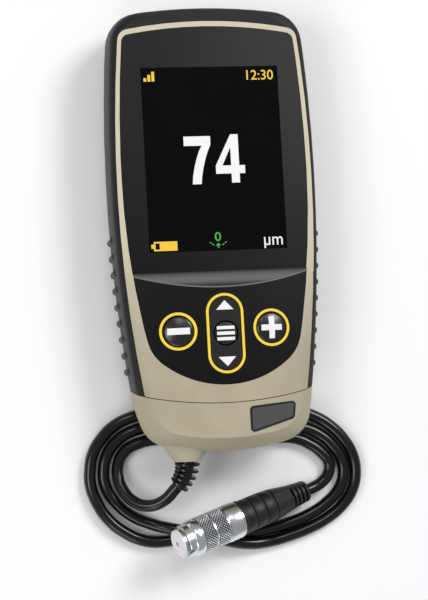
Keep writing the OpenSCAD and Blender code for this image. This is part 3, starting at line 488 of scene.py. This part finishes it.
def table_top():
    f = Finish("white_table", Roughness=0.85, Specular_IOR_Level=0.1)
    cloud = f.noise(f.place(), scale=0.01, detail=2)
    f.set(Base_Color=f.blend(cloud, (0.96, 0.96, 0.96), (0.97, 0.97, 0.97)))
    return f.material


# Making pieces

def active():
    return bpy.context.view_layer.objects.active


def deselect():
    if bpy.context.object and bpy.context.object.mode != "OBJECT":
        bpy.ops.object.mode_set(mode="OBJECT")
    bpy.ops.object.select_all(action="DESELECT")


def choose(*pieces):
    """Selects these pieces alone, with the first of them active."""
    deselect()
    for piece in pieces:
        piece.select_set(True)
    bpy.context.view_layer.objects.active = pieces[0]


def keep(piece, name, body, material, replaced=()):
    """Names a finished piece, paints it and hangs it on its body, if it has just one."""
    piece.name = name
    piece.data.name = name
    piece.data.materials.clear()
    piece.data.materials.append(material)
    if body:
        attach(piece, body)
    if replaced:
        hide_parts(*replaced)
    return piece


def apply_place(piece, place):
    choose(piece)
    piece.matrix_world = place
    bpy.ops.object.transform_apply(location=True, rotation=True, scale=True)


def apply_modifiers(piece):
    choose(piece)
    for modifier in list(piece.modifiers):
        bpy.ops.object.modifier_apply(modifier=modifier.name)


def smooth(piece, degrees):
    choose(piece)
    bpy.ops.object.shade_smooth_by_angle(angle=math.radians(degrees))
    return piece


def merged_copy(node, degrees):
    """A copy of a CAD node with its triangles joined up and its curves shaded smooth."""
    choose(NODES[node])
    bpy.ops.object.duplicate()
    piece = active()
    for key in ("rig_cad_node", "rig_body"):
        if key in piece:
            del piece[key]
    bpy.ops.object.mode_set(mode="EDIT")
    bpy.ops.mesh.select_all(action="SELECT")
    bpy.ops.mesh.customdata_custom_splitnormals_clear()
    bpy.ops.mesh.remove_doubles(threshold=WELD)
    bpy.ops.mesh.dissolve_limited(angle_limit=math.radians(0.3))
    bpy.ops.object.mode_set(mode="OBJECT")
    return smooth(piece, degrees)


def drawn_line(spots):
    """A new mesh, left in edit mode, with one line through a list of places in metres."""
    deselect()
    bpy.ops.mesh.primitive_plane_add(size=MM)
    piece = active()
    bpy.ops.object.mode_set(mode="EDIT")
    bpy.ops.mesh.select_all(action="SELECT")
    bpy.ops.mesh.merge(type="CENTER")
    bpy.ops.transform.translate(value=spots[0])
    for last, spot in zip(spots, spots[1:]):
        bpy.ops.mesh.extrude_vertices_move(TRANSFORM_OT_translate={"value": spot - last})
    bpy.ops.mesh.select_all(action="SELECT")
    return piece


def turned(profile, steps):
    """Turns a profile of radius and height points about Z."""
    piece = drawn_line([Vector((r * MM, 0, s * MM)) for r, s in profile])
    bpy.ops.mesh.spin(steps=steps, angle=2 * math.pi, center=(0, 0, 0), axis=(0, 0, 1))
    bpy.ops.mesh.select_all(action="SELECT")
    bpy.ops.mesh.remove_doubles(threshold=WELD)
    bpy.ops.mesh.normals_make_consistent(inside=False)
    bpy.ops.object.mode_set(mode="OBJECT")
    return piece


def plate(corners, low, high):
    """Flat prism over a list of corners, from height low to high."""
    piece = drawn_line([Vector((x * MM, y * MM, low * MM)) for x, y in corners])
    bpy.ops.mesh.edge_face_add()
    bpy.ops.mesh.extrude_region_move(TRANSFORM_OT_translate={"value": (0, 0, (high - low) * MM)})
    bpy.ops.mesh.select_all(action="SELECT")
    bpy.ops.mesh.normals_make_consistent(inside=False)
    bpy.ops.object.mode_set(mode="OBJECT")
    return piece


def box_corners(x0, x1, y0, y1):
    return [(x0, y0), (x1, y0), (x1, y1), (x0, y1)]


def bar(x0, x1, y0, y1, low, high):
    return plate(box_corners(x0, x1, y0, y1), low, high)


def label(words, weight, x0, x1, y0, y1, low, high):
    """Letters or digits that fill a box."""
    deselect()
    bpy.ops.object.text_add()
    piece = active()
    piece.data.body = words
    piece.data.size = 10 * MM
    piece.data.offset = weight * MM
    piece.data.extrude = 0.1 * MM
    bpy.ops.object.convert(target="MESH")
    piece = active()
    xs, ys, zs = ([v.co[k] for v in piece.data.vertices] for k in range(3))
    size = Vector(((x1 - x0) * MM / (max(xs) - min(xs)), (y1 - y0) * MM / (max(ys) - min(ys)),
                   (high - low) * MM / (max(zs) - min(zs))))
    corner = Vector((x0, y0, low)) * MM - Vector((min(xs) * size.x, min(ys) * size.y, min(zs) * size.z))
    apply_place(piece, Matrix.Translation(corner) @ Matrix.Diagonal((*size, 1)))
    return piece


def cut(piece, tool, operation="DIFFERENCE"):
    """Applies a boolean with another piece, which is used up."""
    modifier = piece.modifiers.new("cut", "BOOLEAN")
    modifier.operation = operation
    modifier.solver = "EXACT"
    modifier.object = tool
    apply_modifiers(piece)
    bpy.data.objects.remove(tool)
    return piece


def round_edges(piece, width, degrees):
    modifier = piece.modifiers.new("edges", "BEVEL")
    modifier.width = width * MM
    modifier.segments = 3
    modifier.limit_method = "ANGLE"
    modifier.angle_limit = math.radians(degrees)
    apply_modifiers(piece)
    return piece


def join(pieces):
    choose(*pieces)
    bpy.ops.object.join()
    return pieces[0]


# The probe: pieces along its axis, measured from the cable end of its boot

BOOT_END = 24.5
BARREL_S = 25.7
CHAMBER_S = 27.1
SLEEVE_S = 31.1
SPIGOT_END = 33.1
SLEEVE_END = 45.7
FACE_S = 47.7
CHAMBER_R = 4.75
SPIGOT_R = 5.2
SPIGOT_PLAY = 0.02
CORE_R = BARREL_R - 0.45
KNURL_BANDS = [(SLEEVE_S + 0.6, SLEEVE_S + 4.6), (SLEEVE_S + 5.2, SLEEVE_S + 9.2)]
KNURL_AROUND, KNURL_ROWS = 34, 4

# Stands a plate on the probe's side: its X runs round the probe, its Y along it and its Z outwards
ON_SIDE = Matrix(((0, 0, 1, 0), (1, 0, 0, 0), (0, 1, 0, 0), (0, 0, 0, 1)))


def about_axis(degrees):
    return Matrix.Rotation(math.radians(degrees), 4, "Z")


def knurl_band(low, high):
    """Ring of small diamond pyramids."""
    touching = 1e-6  # metres
    valley_r = BARREL_R - KNURL_DEPTH
    deselect()
    bpy.ops.mesh.primitive_cylinder_add(vertices=KNURL_AROUND, radius=valley_r * MM, depth=(high - low) * MM,
                                        end_fill_type="NOTHING", location=(0, 0, (low + high) / 2 * MM))
    band = active()
    bpy.ops.object.transform_apply(location=True, rotation=True, scale=True)

    # A grid: the upright edges are cut into rows
    for part in (band.data.vertices, band.data.edges, band.data.polygons):
        for item in part:
            item.select = False
    bpy.ops.object.mode_set(mode="EDIT")
    bpy.ops.mesh.select_mode(type="EDGE")
    bpy.ops.object.mode_set(mode="OBJECT")
    for edge in band.data.edges:
        a, b = (band.data.vertices[i].co.z for i in edge.vertices)
        edge.select = abs(a - b) > MM * 0.1
    bpy.ops.object.mode_set(mode="EDIT")
    bpy.ops.mesh.subdivide(number_cuts=KNURL_ROWS - 1)
    bpy.ops.object.mode_set(mode="OBJECT")
    grid = len(band.data.vertices)

    # Diamonds: each cell gets a middle, and the grid's own edges go, save those at the band's ends
    bpy.ops.object.mode_set(mode="EDIT")
    bpy.ops.mesh.select_all(action="SELECT")
    bpy.ops.mesh.poke()
    bpy.ops.mesh.select_all(action="DESELECT")
    bpy.ops.object.mode_set(mode="OBJECT")
    ends = (low * MM + touching, high * MM - touching)
    for edge in band.data.edges:
        a, b = edge.vertices
        za, zb = band.data.vertices[a].co.z, band.data.vertices[b].co.z
        on_end = abs(za - zb) < touching and (za < ends[0] or za > ends[1])
        edge.select = a < grid and b < grid and not on_end
    bpy.ops.object.mode_set(mode="EDIT")
    bpy.ops.mesh.dissolve_edges(use_verts=False)

    # Pyramids: the middles of the whole diamonds move out
    bpy.ops.mesh.select_mode(type="FACE")
    bpy.ops.mesh.select_all(action="SELECT")
    bpy.ops.object.mode_set(mode="OBJECT")
    flat = len(band.data.vertices)
    bpy.ops.object.mode_set(mode="EDIT")
    bpy.ops.mesh.poke()
    bpy.ops.mesh.select_mode(type="VERT")
    bpy.ops.mesh.select_all(action="DESELECT")
    bpy.ops.object.mode_set(mode="OBJECT")
    margin = 0.05 * MM
    for vertex in band.data.vertices:
        vertex.select = vertex.index >= flat and ends[0] + margin < vertex.co.z < ends[1] - margin
    bpy.ops.object.mode_set(mode="EDIT")
    grow = BARREL_R / valley_r
    bpy.ops.transform.resize(value=(grow, grow, 1), center_override=(0, 0, 0))
    bpy.ops.object.mode_set(mode="OBJECT")
    return band


def probe_sleeve():
    """Turned sleeve with room for two knurled bands, a plain band and a notched nose."""
    bore_r = 4.5
    start, end = SLEEVE_S, SLEEVE_END
    body = turned([
        (SPIGOT_R, start), (5.55, start), (5.7, start + 0.15), (5.7, start + 0.45),
        (CORE_R, start + 0.6), (CORE_R, start + 4.6), (5.25, start + 4.75), (5.25, start + 5.05),
        (CORE_R, start + 5.2), (CORE_R, start + 9.2), (5.3, start + 9.35), (5.3, start + 9.6),
        (5.72, start + 9.75), (5.8, start + 9.95), (5.74, start + 11.2), (5.5, start + 12.1), (5.3, start + 12.4),
        (5.1, start + 12.5), (5.1, end - 0.2), (4.95, end), (bore_r, end),
        (bore_r, SPIGOT_END), (SPIGOT_R, SPIGOT_END), (SPIGOT_R, start)], 64)
    for turn in (20, 140, 260):
        notch = plate([(-1.4, 0.6), (0, -1.7), (1.4, 0.6)], 3.6, 7)
        apply_place(notch, about_axis(turn) @ Matrix.Translation((0, 0, end * MM)) @ ON_SIDE)
        cut(body, notch)
    return smooth(body, 30)


def probe_barrel():
    """Turned barrel with a fine step at each end, a spigot and a chamber for the plunger's spring."""
    start, end = BARREL_S, SLEEVE_S
    spigot_r = SPIGOT_R - SPIGOT_PLAY
    barrel = turned([
        (0, start), (5.3, start), (5.5, start + 0.12), (5.5, start + 0.4), (5.62, start + 0.5),
        (BARREL_R, start + 0.75), (BARREL_R, end - 0.35), (5.72, end - 0.2), (5.4, end - SPIGOT_PLAY),
        (spigot_r, end - SPIGOT_PLAY), (spigot_r, SPIGOT_END), (CHAMBER_R, SPIGOT_END), (CHAMBER_R, CHAMBER_S),
        (0, CHAMBER_S)], 72)
    return smooth(barrel, 30)


def plunger_coil():
    """Spring behind the plunger, which shortens as the plunger goes in. This copy is fixed in place and keeps its
    length.
    """
    coil = merged_copy("probe_spring", 40)
    bpy.ops.object.parent_clear(type="CLEAR_KEEP_TRANSFORM")
    keep(coil, "plunger_coil", None, STEEL, ["probe_spring"])
    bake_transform(coil)


def probe_boot():
    """Rubber boot: ribbed tail, plain grip with fine grooves and a bare sunk panel."""
    profile = [(0, 0), (2.2, 0), (3.2, 0.1), (3.4, 0.4), (3.55, 2.5), (3.9, 6), (4.4, 9), (4.85, 11.5)]
    for s, r in ((13.4, 5.1), (17.4, 5.3), (21.4, 5.3)):
        profile += [(r, s - 0.3), (r - 0.05, s - 0.2), (r - 0.4, s), (r - 0.05, s + 0.2), (r, s + 0.3)]
    profile += [(5.3, BOOT_END - 0.4), (5.2, BOOT_END - 0.1), (4.9, BOOT_END), (0, BOOT_END)]
    boot = turned(profile, 64)
    slot_w = 0.7
    for s in (1.1, 2.7, 4.3, 5.9):
        for side in (-1, 1):
            slot = bar(-3.6, 3.6, 1.05 * side, 6 * side, s, s + slot_w)
            apply_place(slot, about_axis(60))
            cut(boot, slot)
    panel = plate([(-1.5, -3.8), (1.5, -3.8), (1.8, -3.5), (1.8, 2.7), (1.5, 3.0), (-1.5, 3.0), (-1.8, 2.7),
                   (-1.8, -3.5)], -0.5, 3)
    taper = Matrix.Rotation(math.radians(8.5), 4, "Y")
    apply_place(panel, about_axis(207) @ Matrix.Translation(Vector((4.45, 0, 9.8)) * MM) @ taper @ ON_SIDE)
    cut(boot, panel)
    return smooth(boot, 32)


def probe_end():
    """Pale disc at the probe's end, with a fine step round it and a hole for the tip."""
    hole_r = 0.74
    back = FACE_S - 0.9
    disc = turned([
        (hole_r, back), (4.4, back), (4.4, FACE_S - 0.32), (4.3, FACE_S - 0.2), (4.05, FACE_S - 0.16),
        (4.0, FACE_S - 0.06), (3.9, FACE_S), (hole_r + 0.1, FACE_S), (hole_r, FACE_S - 0.06), (hole_r, back)], 64)
    return smooth(disc, 30)


# Cable relief at the connector's outlet

RELIEF_START = Vector((-12.4, -69.2, 14))
RELIEF_MOUTH = Vector((-12.4, -72.2, 14))
RELIEF_VIA = Vector((-12.4, -76.74, 13.65))
RELIEF_END = Vector((-15.6, -79.8, 12.4))
RELIEF_R = 2.15
RIBS = 5
RIB_FIRST, RIB_STEP = 0.09, 0.2  # shares of the bent axis
RIB_R, RIB_SHRINK = 3.95, 0.17
RIB_HALF = 0.42
RIB_EDGE = 0.2


def relief_at(t):
    """Place and direction on the relief's bent axis."""
    a, b, c = RELIEF_MOUTH, RELIEF_VIA, RELIEF_END
    place = (1 - t) ** 2 * a + 2 * t * (1 - t) * b + t * t * c
    along = (2 * (1 - t) * (b - a) + 2 * t * (c - b)).normalized()
    return place, along


def relief_core():
    """Round core from inside the connector nearly to the relief's end."""
    data = bpy.data.curves.new("relief_line", "CURVE")
    data.dimensions = "3D"
    data.bevel_depth = RELIEF_R * MM
    data.bevel_resolution = 5
    data.use_fill_caps = True
    spots = [RELIEF_START] + [relief_at(k / 12)[0] for k in range(12)] + [relief_at(0.97)[0]]
    line = data.splines.new("POLY")
    line.points.add(len(spots) - 1)
    for point, spot in zip(line.points, spots):
        point.co = (*(spot * MM), 1)
    core = bpy.data.objects.new("relief_core", data)
    bpy.context.scene.collection.objects.link(core)
    choose(core)
    bpy.ops.object.convert(target="MESH")
    return smooth(active(), 50)


def strain_relief():
    """Core, ribs that shrink towards the cable, and a spine that joins them."""
    pieces = [relief_core()]
    for k in range(RIBS):
        place, along = relief_at(RIB_FIRST + RIB_STEP * k)
        shrunk = RIB_SHRINK * k
        r = RIB_R - shrunk
        rib = turned([(0, -RIB_HALF), (r - RIB_EDGE, -RIB_HALF), (r, RIB_EDGE - RIB_HALF), (r, RIB_HALF - RIB_EDGE),
                      (r - RIB_EDGE, RIB_HALF), (0, RIB_HALF)], 32)
        smooth(rib, 40)
        turn = along.to_track_quat("Z", "Y").to_matrix().to_4x4()
        apply_place(rib, Matrix.Translation(place * MM) @ turn)
        pieces.append(rib)
        if k < RIBS - 1:
            step = relief_at(RIB_FIRST + RIB_STEP * (k + 1))[0] - place
            tie = bar(-1.15, 1.15, -0.2, 3.4 - shrunk, 0, step.length)
            over = (Vector((0, 0, 1)) - along * along.z).normalized()
            turn = Matrix((over.cross(along), over, step.normalized())).transposed().to_4x4()
            apply_place(tie, Matrix.Translation(place * MM) @ turn)
            pieces.append(tie)
    return join(pieces)


# Keys, with their signs

KEY_X, KEY_Y = 14.5, -32.4
ROCKER_Y = -33.6
BIG_KEY = (4.7, 0.8, 4.4)  # radius, rise of the dome, depth
MENU_KEY = (3.6, 0.35, 5.2)
SIGN_PROUD = 0.05
MINUS = [box_corners(-3.5, 3.5, -1.0, 1.0)]
PLUS = [[(-0.9, -3.4), (0.9, -3.4), (0.9, -0.9), (3.3, -0.9), (3.3, 0.9), (0.9, 0.9), (0.9, 3.4), (-0.9, 3.4),
         (-0.9, 0.9), (-3.3, 0.9), (-3.3, -0.9), (-0.9, -0.9)]]
BARS = [box_corners(-2.75, 2.75, y - 0.5, y + 0.5) for y in (-1.7, 0, 1.7)]
ARROW_HALF, ARROW_FROM, ARROW_TO = 2.7, 7.2, 10.1
ARROW_HEIGHTS = (25.2, 25.44)


def on_crown(x, y, above):
    """Frame standing on the keypad's crown, raised by a height."""
    r = CROWN_R + above
    lean = math.asin(x / r)
    height = CROWN_TOP - CROWN_R + r * math.cos(lean)
    return Matrix.Translation(Vector((x, y, height)) * MM) @ Matrix.Rotation(lean, 4, "Y")


def domed(r, rise, depth):
    """Profile of a round key with a domed top that ends at height 0."""
    top = [(r * q, -rise * q * q) for q in (0.94, 0.85, 0.7, 0.5, 0.3, 0.15, 0)]
    return [(0, -depth), (r, -depth), (r, -rise - 0.35), (r - 0.06, -rise - 0.18), *top]


def domed_key(r, rise, depth, place, signs):
    """A round key, and signs set into its dome."""
    key = turned(domed(r, rise, depth), 56)
    smooth(key, 40)
    apply_place(key, place)
    marks = []
    for corners in signs:
        mark = plate(corners, -rise - 0.4, 1)
        over_dome = [(q, h + SIGN_PROUD) for q, h in domed(r, rise, rise + 0.6)]
        marks.append(cut(mark, turned(over_dome, 56), "INTERSECT"))
    sign = join(marks)
    apply_place(sign, place)
    return key, sign


# The display's marks; a mark's corners are counted to the right and down from its own top left

SHOWN = (20.74, 20.78)
THROUGH = (20, 21)
SEVEN_AT, FOUR_AT = (-9.3, 28.1), (0.45, 28.5)
SEVEN = [(0, 0), (8.4, 0), (8.4, 2.7), (7.5, 4.6), (6.7, 6.8), (5.9, 9.6), (5.3, 12.4), (5.0, 15.0), (2.2, 15.0),
         (2.5, 12.3), (3.1, 9.5), (3.9, 6.8), (4.7, 4.6), (5.6, 2.95), (0, 2.95)]
FOUR = [(5.0, 0), (7.4, 0), (7.4, 9.75), (9.2, 9.75), (9.2, 12.3), (7.4, 12.3), (7.4, 15.2), (4.85, 15.2),
        (4.85, 12.3), (0, 12.3), (0, 9.75)]
FOUR_GAP = [(4.85, 4.0), (4.85, 9.75), (2.1, 9.75)]
UNIT_BOX = (14.4, 20.3, -7.5, -4.0)
CLOCK_BOX = (11.7, 20.2, 45.6, 48.7)
NOUGHT_BOX = (-1.1, 0.9, -4.8, -2.0)
LEVEL_X, LEVEL_Y = -20.8, 45.6
LEVEL_W, LEVEL_STEP = 0.9, 1.25
CELL = [(-21.0, -6.5), (-20.2, -6.5), (-20.2, -7.3), (-12.9, -7.3), (-12.9, -4.4), (-20.2, -4.4), (-20.2, -5.2),
        (-21.0, -5.2)]
CELL_GAP = (-19.7, -18.4, -6.8, -4.9)
ZERO_ARROW = [(-0.28, -6.9), (0.12, -6.9), (0.12, -6.2), (0.75, -6.2), (-0.08, -5.3), (-0.9, -6.2), (-0.28, -6.2)]
ZERO_DASHES = ((1, 1.1, -5.9), (1, 1.9, -5.3), (-1, -1.3, -5.9), (-1, -2.1, -5.3))


def mark_at(place, corners, heights):
    return plate([(place[0] + u, place[1] - v) for u, v in corners], *heights)


def reading():
    seven = mark_at(SEVEN_AT, SEVEN, SHOWN)
    four = mark_at(FOUR_AT, FOUR, SHOWN)
    cut(four, mark_at(FOUR_AT, FOUR_GAP, THROUGH))
    return join([seven, four])


def status_marks():
    """Clock, three level bars and a battery."""
    clock = label("12:30", 0.06, *CLOCK_BOX, *SHOWN)
    levels = []
    for k in range(3):
        left = LEVEL_X + LEVEL_STEP * k
        levels.append(bar(left, left + LEVEL_W, LEVEL_Y, LEVEL_Y + 1.1 + k, *SHOWN))
    cell = plate(CELL, *SHOWN)
    cut(cell, bar(*CELL_GAP, *THROUGH))
    return join([clock, *levels, cell])


def zero_mark():
    """A nought under an arrow and a dashed arc."""
    nought = label("0", 0.1, *NOUGHT_BOX, *SHOWN)
    arrow = plate(ZERO_ARROW, *SHOWN)
    dashes = [plate([(x, y), (x + 0.55 * d, y + 0.35), (x + 0.75 * d, y + 0.1), (x + 0.2 * d, y - 0.25)], *SHOWN)
              for d, x, y in ZERO_DASHES]
    return join([nought, arrow, *dashes])


# Light and floor

LAMP_AIM = Vector((0, -0.02, 0))  # metres
LAMPS = [("key_lamp", (0.6, 0.5, 0.8), 0.4, 5.9),  # name, place and size in metres, power
         ("fill_lamp", (-0.6, -0.1, 0.7), 0.4, 2.2),
         ("low_lamp", (-0.3, -0.6, 0.35), 0.3, 0.9),
         ("top_lamp", (-0.05, 0.42, 0.75), 0.22, 0.8)]
SKY = (0.96, 0.98, 1, 1)
SKY_STRENGTH = 0.37
TABLE_SIZE = 6  # metres


def set_light():
    scene = bpy.context.scene
    scene.view_settings.view_transform = "Standard"
    world = bpy.data.worlds.new("studio")
    scene.world = world
    world.use_nodes = True
    sky = world.node_tree.nodes["Background"].inputs
    sky["Color"].default_value = SKY
    sky["Strength"].default_value = SKY_STRENGTH
    for name, place, size, power in LAMPS:
        data = bpy.data.lights.new(name, "AREA")
        data.size = size
        data.energy = power
        lamp = bpy.data.objects.new(name, data)
        scene.collection.objects.link(lamp)
        aim = LAMP_AIM - Vector(place)
        lamp.matrix_world = Matrix.Translation(place) @ aim.to_track_quat("-Z", "Y").to_matrix().to_4x4()


def lay_floor():
    deselect()
    bpy.ops.mesh.primitive_plane_add(size=TABLE_SIZE)
    floor = active()
    floor.name = "table"
    floor.data.materials.append(table_top())


# The scene: camera and cord come first

set_camera()
CABLE = cable_rubber()
BOOT = boot_rubber()
relief = keep(strain_relief(), "cable_relief", "connector", CABLE, ["strain_relief"])
cord = lay_cord()
keep(cord, "probe_cable", "connector", CABLE, ["cord"])

# Solids that keep their shape

BACK = back_plastic()
JACKET = jacket_rubber()
BLACK = plain("black_plastic", srgb(22, 22, 23), srgb(32, 32, 33), 0.45)
GREY = plain("grey_plastic", srgb(100, 101, 103), srgb(112, 113, 115), 0.5)
BOARD = plain("circuit_board", srgb(24, 92, 50), srgb(32, 104, 60), 0.4)
SLEEVING = plain("cell_sleeve", srgb(40, 84, 140), srgb(48, 94, 150), 0.3)
STEEL = turned_steel("turned_steel", srgb(168, 170, 173), srgb(190, 192, 195), 0.25)
GOLD = turned_steel("gold_contacts", srgb(200, 160, 80), srgb(214, 176, 96), 0.22)
COPPER = turned_steel("copper_wire", srgb(176, 112, 70), srgb(196, 130, 84), 0.3)

PAINT = {
    "back_shell": BACK, "battery_door": BACK, "display_window": display_glass(), "lcd_module": GREY,
    "main_board": BOARD, "keypad_mat": GREY, "cell_left": SLEEVING, "cell_middle": SLEEVING, "cell_right": SLEEVING,
    "contact_plates": STEEL, "contact_springs": STEEL, "body_screws": STEEL, "beeper": BLACK, "usb_socket": STEEL,
    "usb_cover": JACKET, "probe_socket": BLACK, "connector_plug": BLACK, "contact_pins": GOLD,
    "connector_board": BOARD, "badge_plate": badge_face(), "probe_collar": BLACK, "probe_plunger": STEEL,
    "sensor_coil": COPPER, "ruby_tip": ruby_stone()}
for node, material in PAINT.items():
    NODES[node].data.materials.clear()
    NODES[node].data.materials.append(material)

# Smooth copies of the body's solids

BEIGE = beige_plastic()
keep(merged_copy("rubber_jacket", 32), "jacket", "gauge", JACKET, ["rubber_jacket"])
keep(merged_copy("front_shell", 28), "front_case", "gauge", BEIGE, ["front_shell"])
keep(merged_copy("connector_housing", 32), "connector_case", "connector", BEIGE, ["connector_housing"])
keep(merged_copy("face_panel", 20), "dark_face", "gauge", panel_film(), ["face_panel"])

RING = yellow_ring()
for ring in ("minus_ring", "plus_ring", "nav_ring"):
    trim = round_edges(merged_copy(ring, 30), width=0.28, degrees=50)
    smooth(trim, 40)
    keep(trim, ring.replace("_ring", "_trim"), "gauge", RING, [ring])

# Probe

CHROME = chrome_plate()
sleeve = probe_sleeve()
apply_place(sleeve, ON_PROBE)
keep(sleeve, "knurled_sleeve", "connector", CHROME, ["probe_sleeve"])
bands = join([knurl_band(low, high) for low, high in KNURL_BANDS])
apply_place(bands, ON_PROBE)
keep(bands, "knurl_bands", "connector", knurled_steel())
barrel = probe_barrel()
apply_place(barrel, ON_PROBE)
keep(barrel, "plain_barrel", "connector", CHROME, ["probe_barrel"])
plunger_coil()
boot = probe_boot()
apply_place(boot, ON_PROBE)
keep(boot, "rubber_boot", "connector", BOOT, ["probe_boot"])
disc = probe_end()
apply_place(disc, ON_PROBE)
keep(disc, "pale_disc", "plunger", wear_disc(), ["wear_face"])

# Keys

KEY_BLACK = key_plastic()
WHITE = white_ink()
for name, shape, place, signs in (("minus", BIG_KEY, on_crown(-KEY_X, KEY_Y, 0.8), MINUS),
                                  ("plus", BIG_KEY, on_crown(KEY_X, KEY_Y, 0.8), PLUS),
                                  ("menu", MENU_KEY, on_crown(0, ROCKER_Y, 0.44), BARS)):
    button, sign = domed_key(*shape, place, signs)
    keep(button, name + "_button", name + "_key", KEY_BLACK, [name + "_key"])
    keep(sign, name + "_sign", name + "_key", WHITE)
rocker = round_edges(merged_copy("nav_rocker", 30), width=0.35, degrees=40)
smooth(rocker, 40)
keep(rocker, "rocker", "nav_rocker", KEY_BLACK, ["nav_rocker"])
arrows = join([plate([(-ARROW_HALF, ROCKER_Y + ARROW_FROM * way), (ARROW_HALF, ROCKER_Y + ARROW_FROM * way),
                      (0, ROCKER_Y + ARROW_TO * way)], *ARROW_HEIGHTS) for way in (1, -1)])
keep(arrows, "rocker_arrows", "nav_rocker", WHITE)

# Display

LIT_WHITE = lit("lit_white", srgb(252, 252, 252))
keep(reading(), "reading", "gauge", LIT_WHITE)
keep(label("\u00b5m", 0.02, *UNIT_BOX, *SHOWN), "unit_mark", "gauge", LIT_WHITE)
keep(status_marks(), "status_marks", "gauge", lit("lit_yellow", srgb(253, 208, 70)))
keep(zero_mark(), "zero_mark", "gauge", lit("lit_green", srgb(80, 178, 72)))

set_light()
lay_floor()
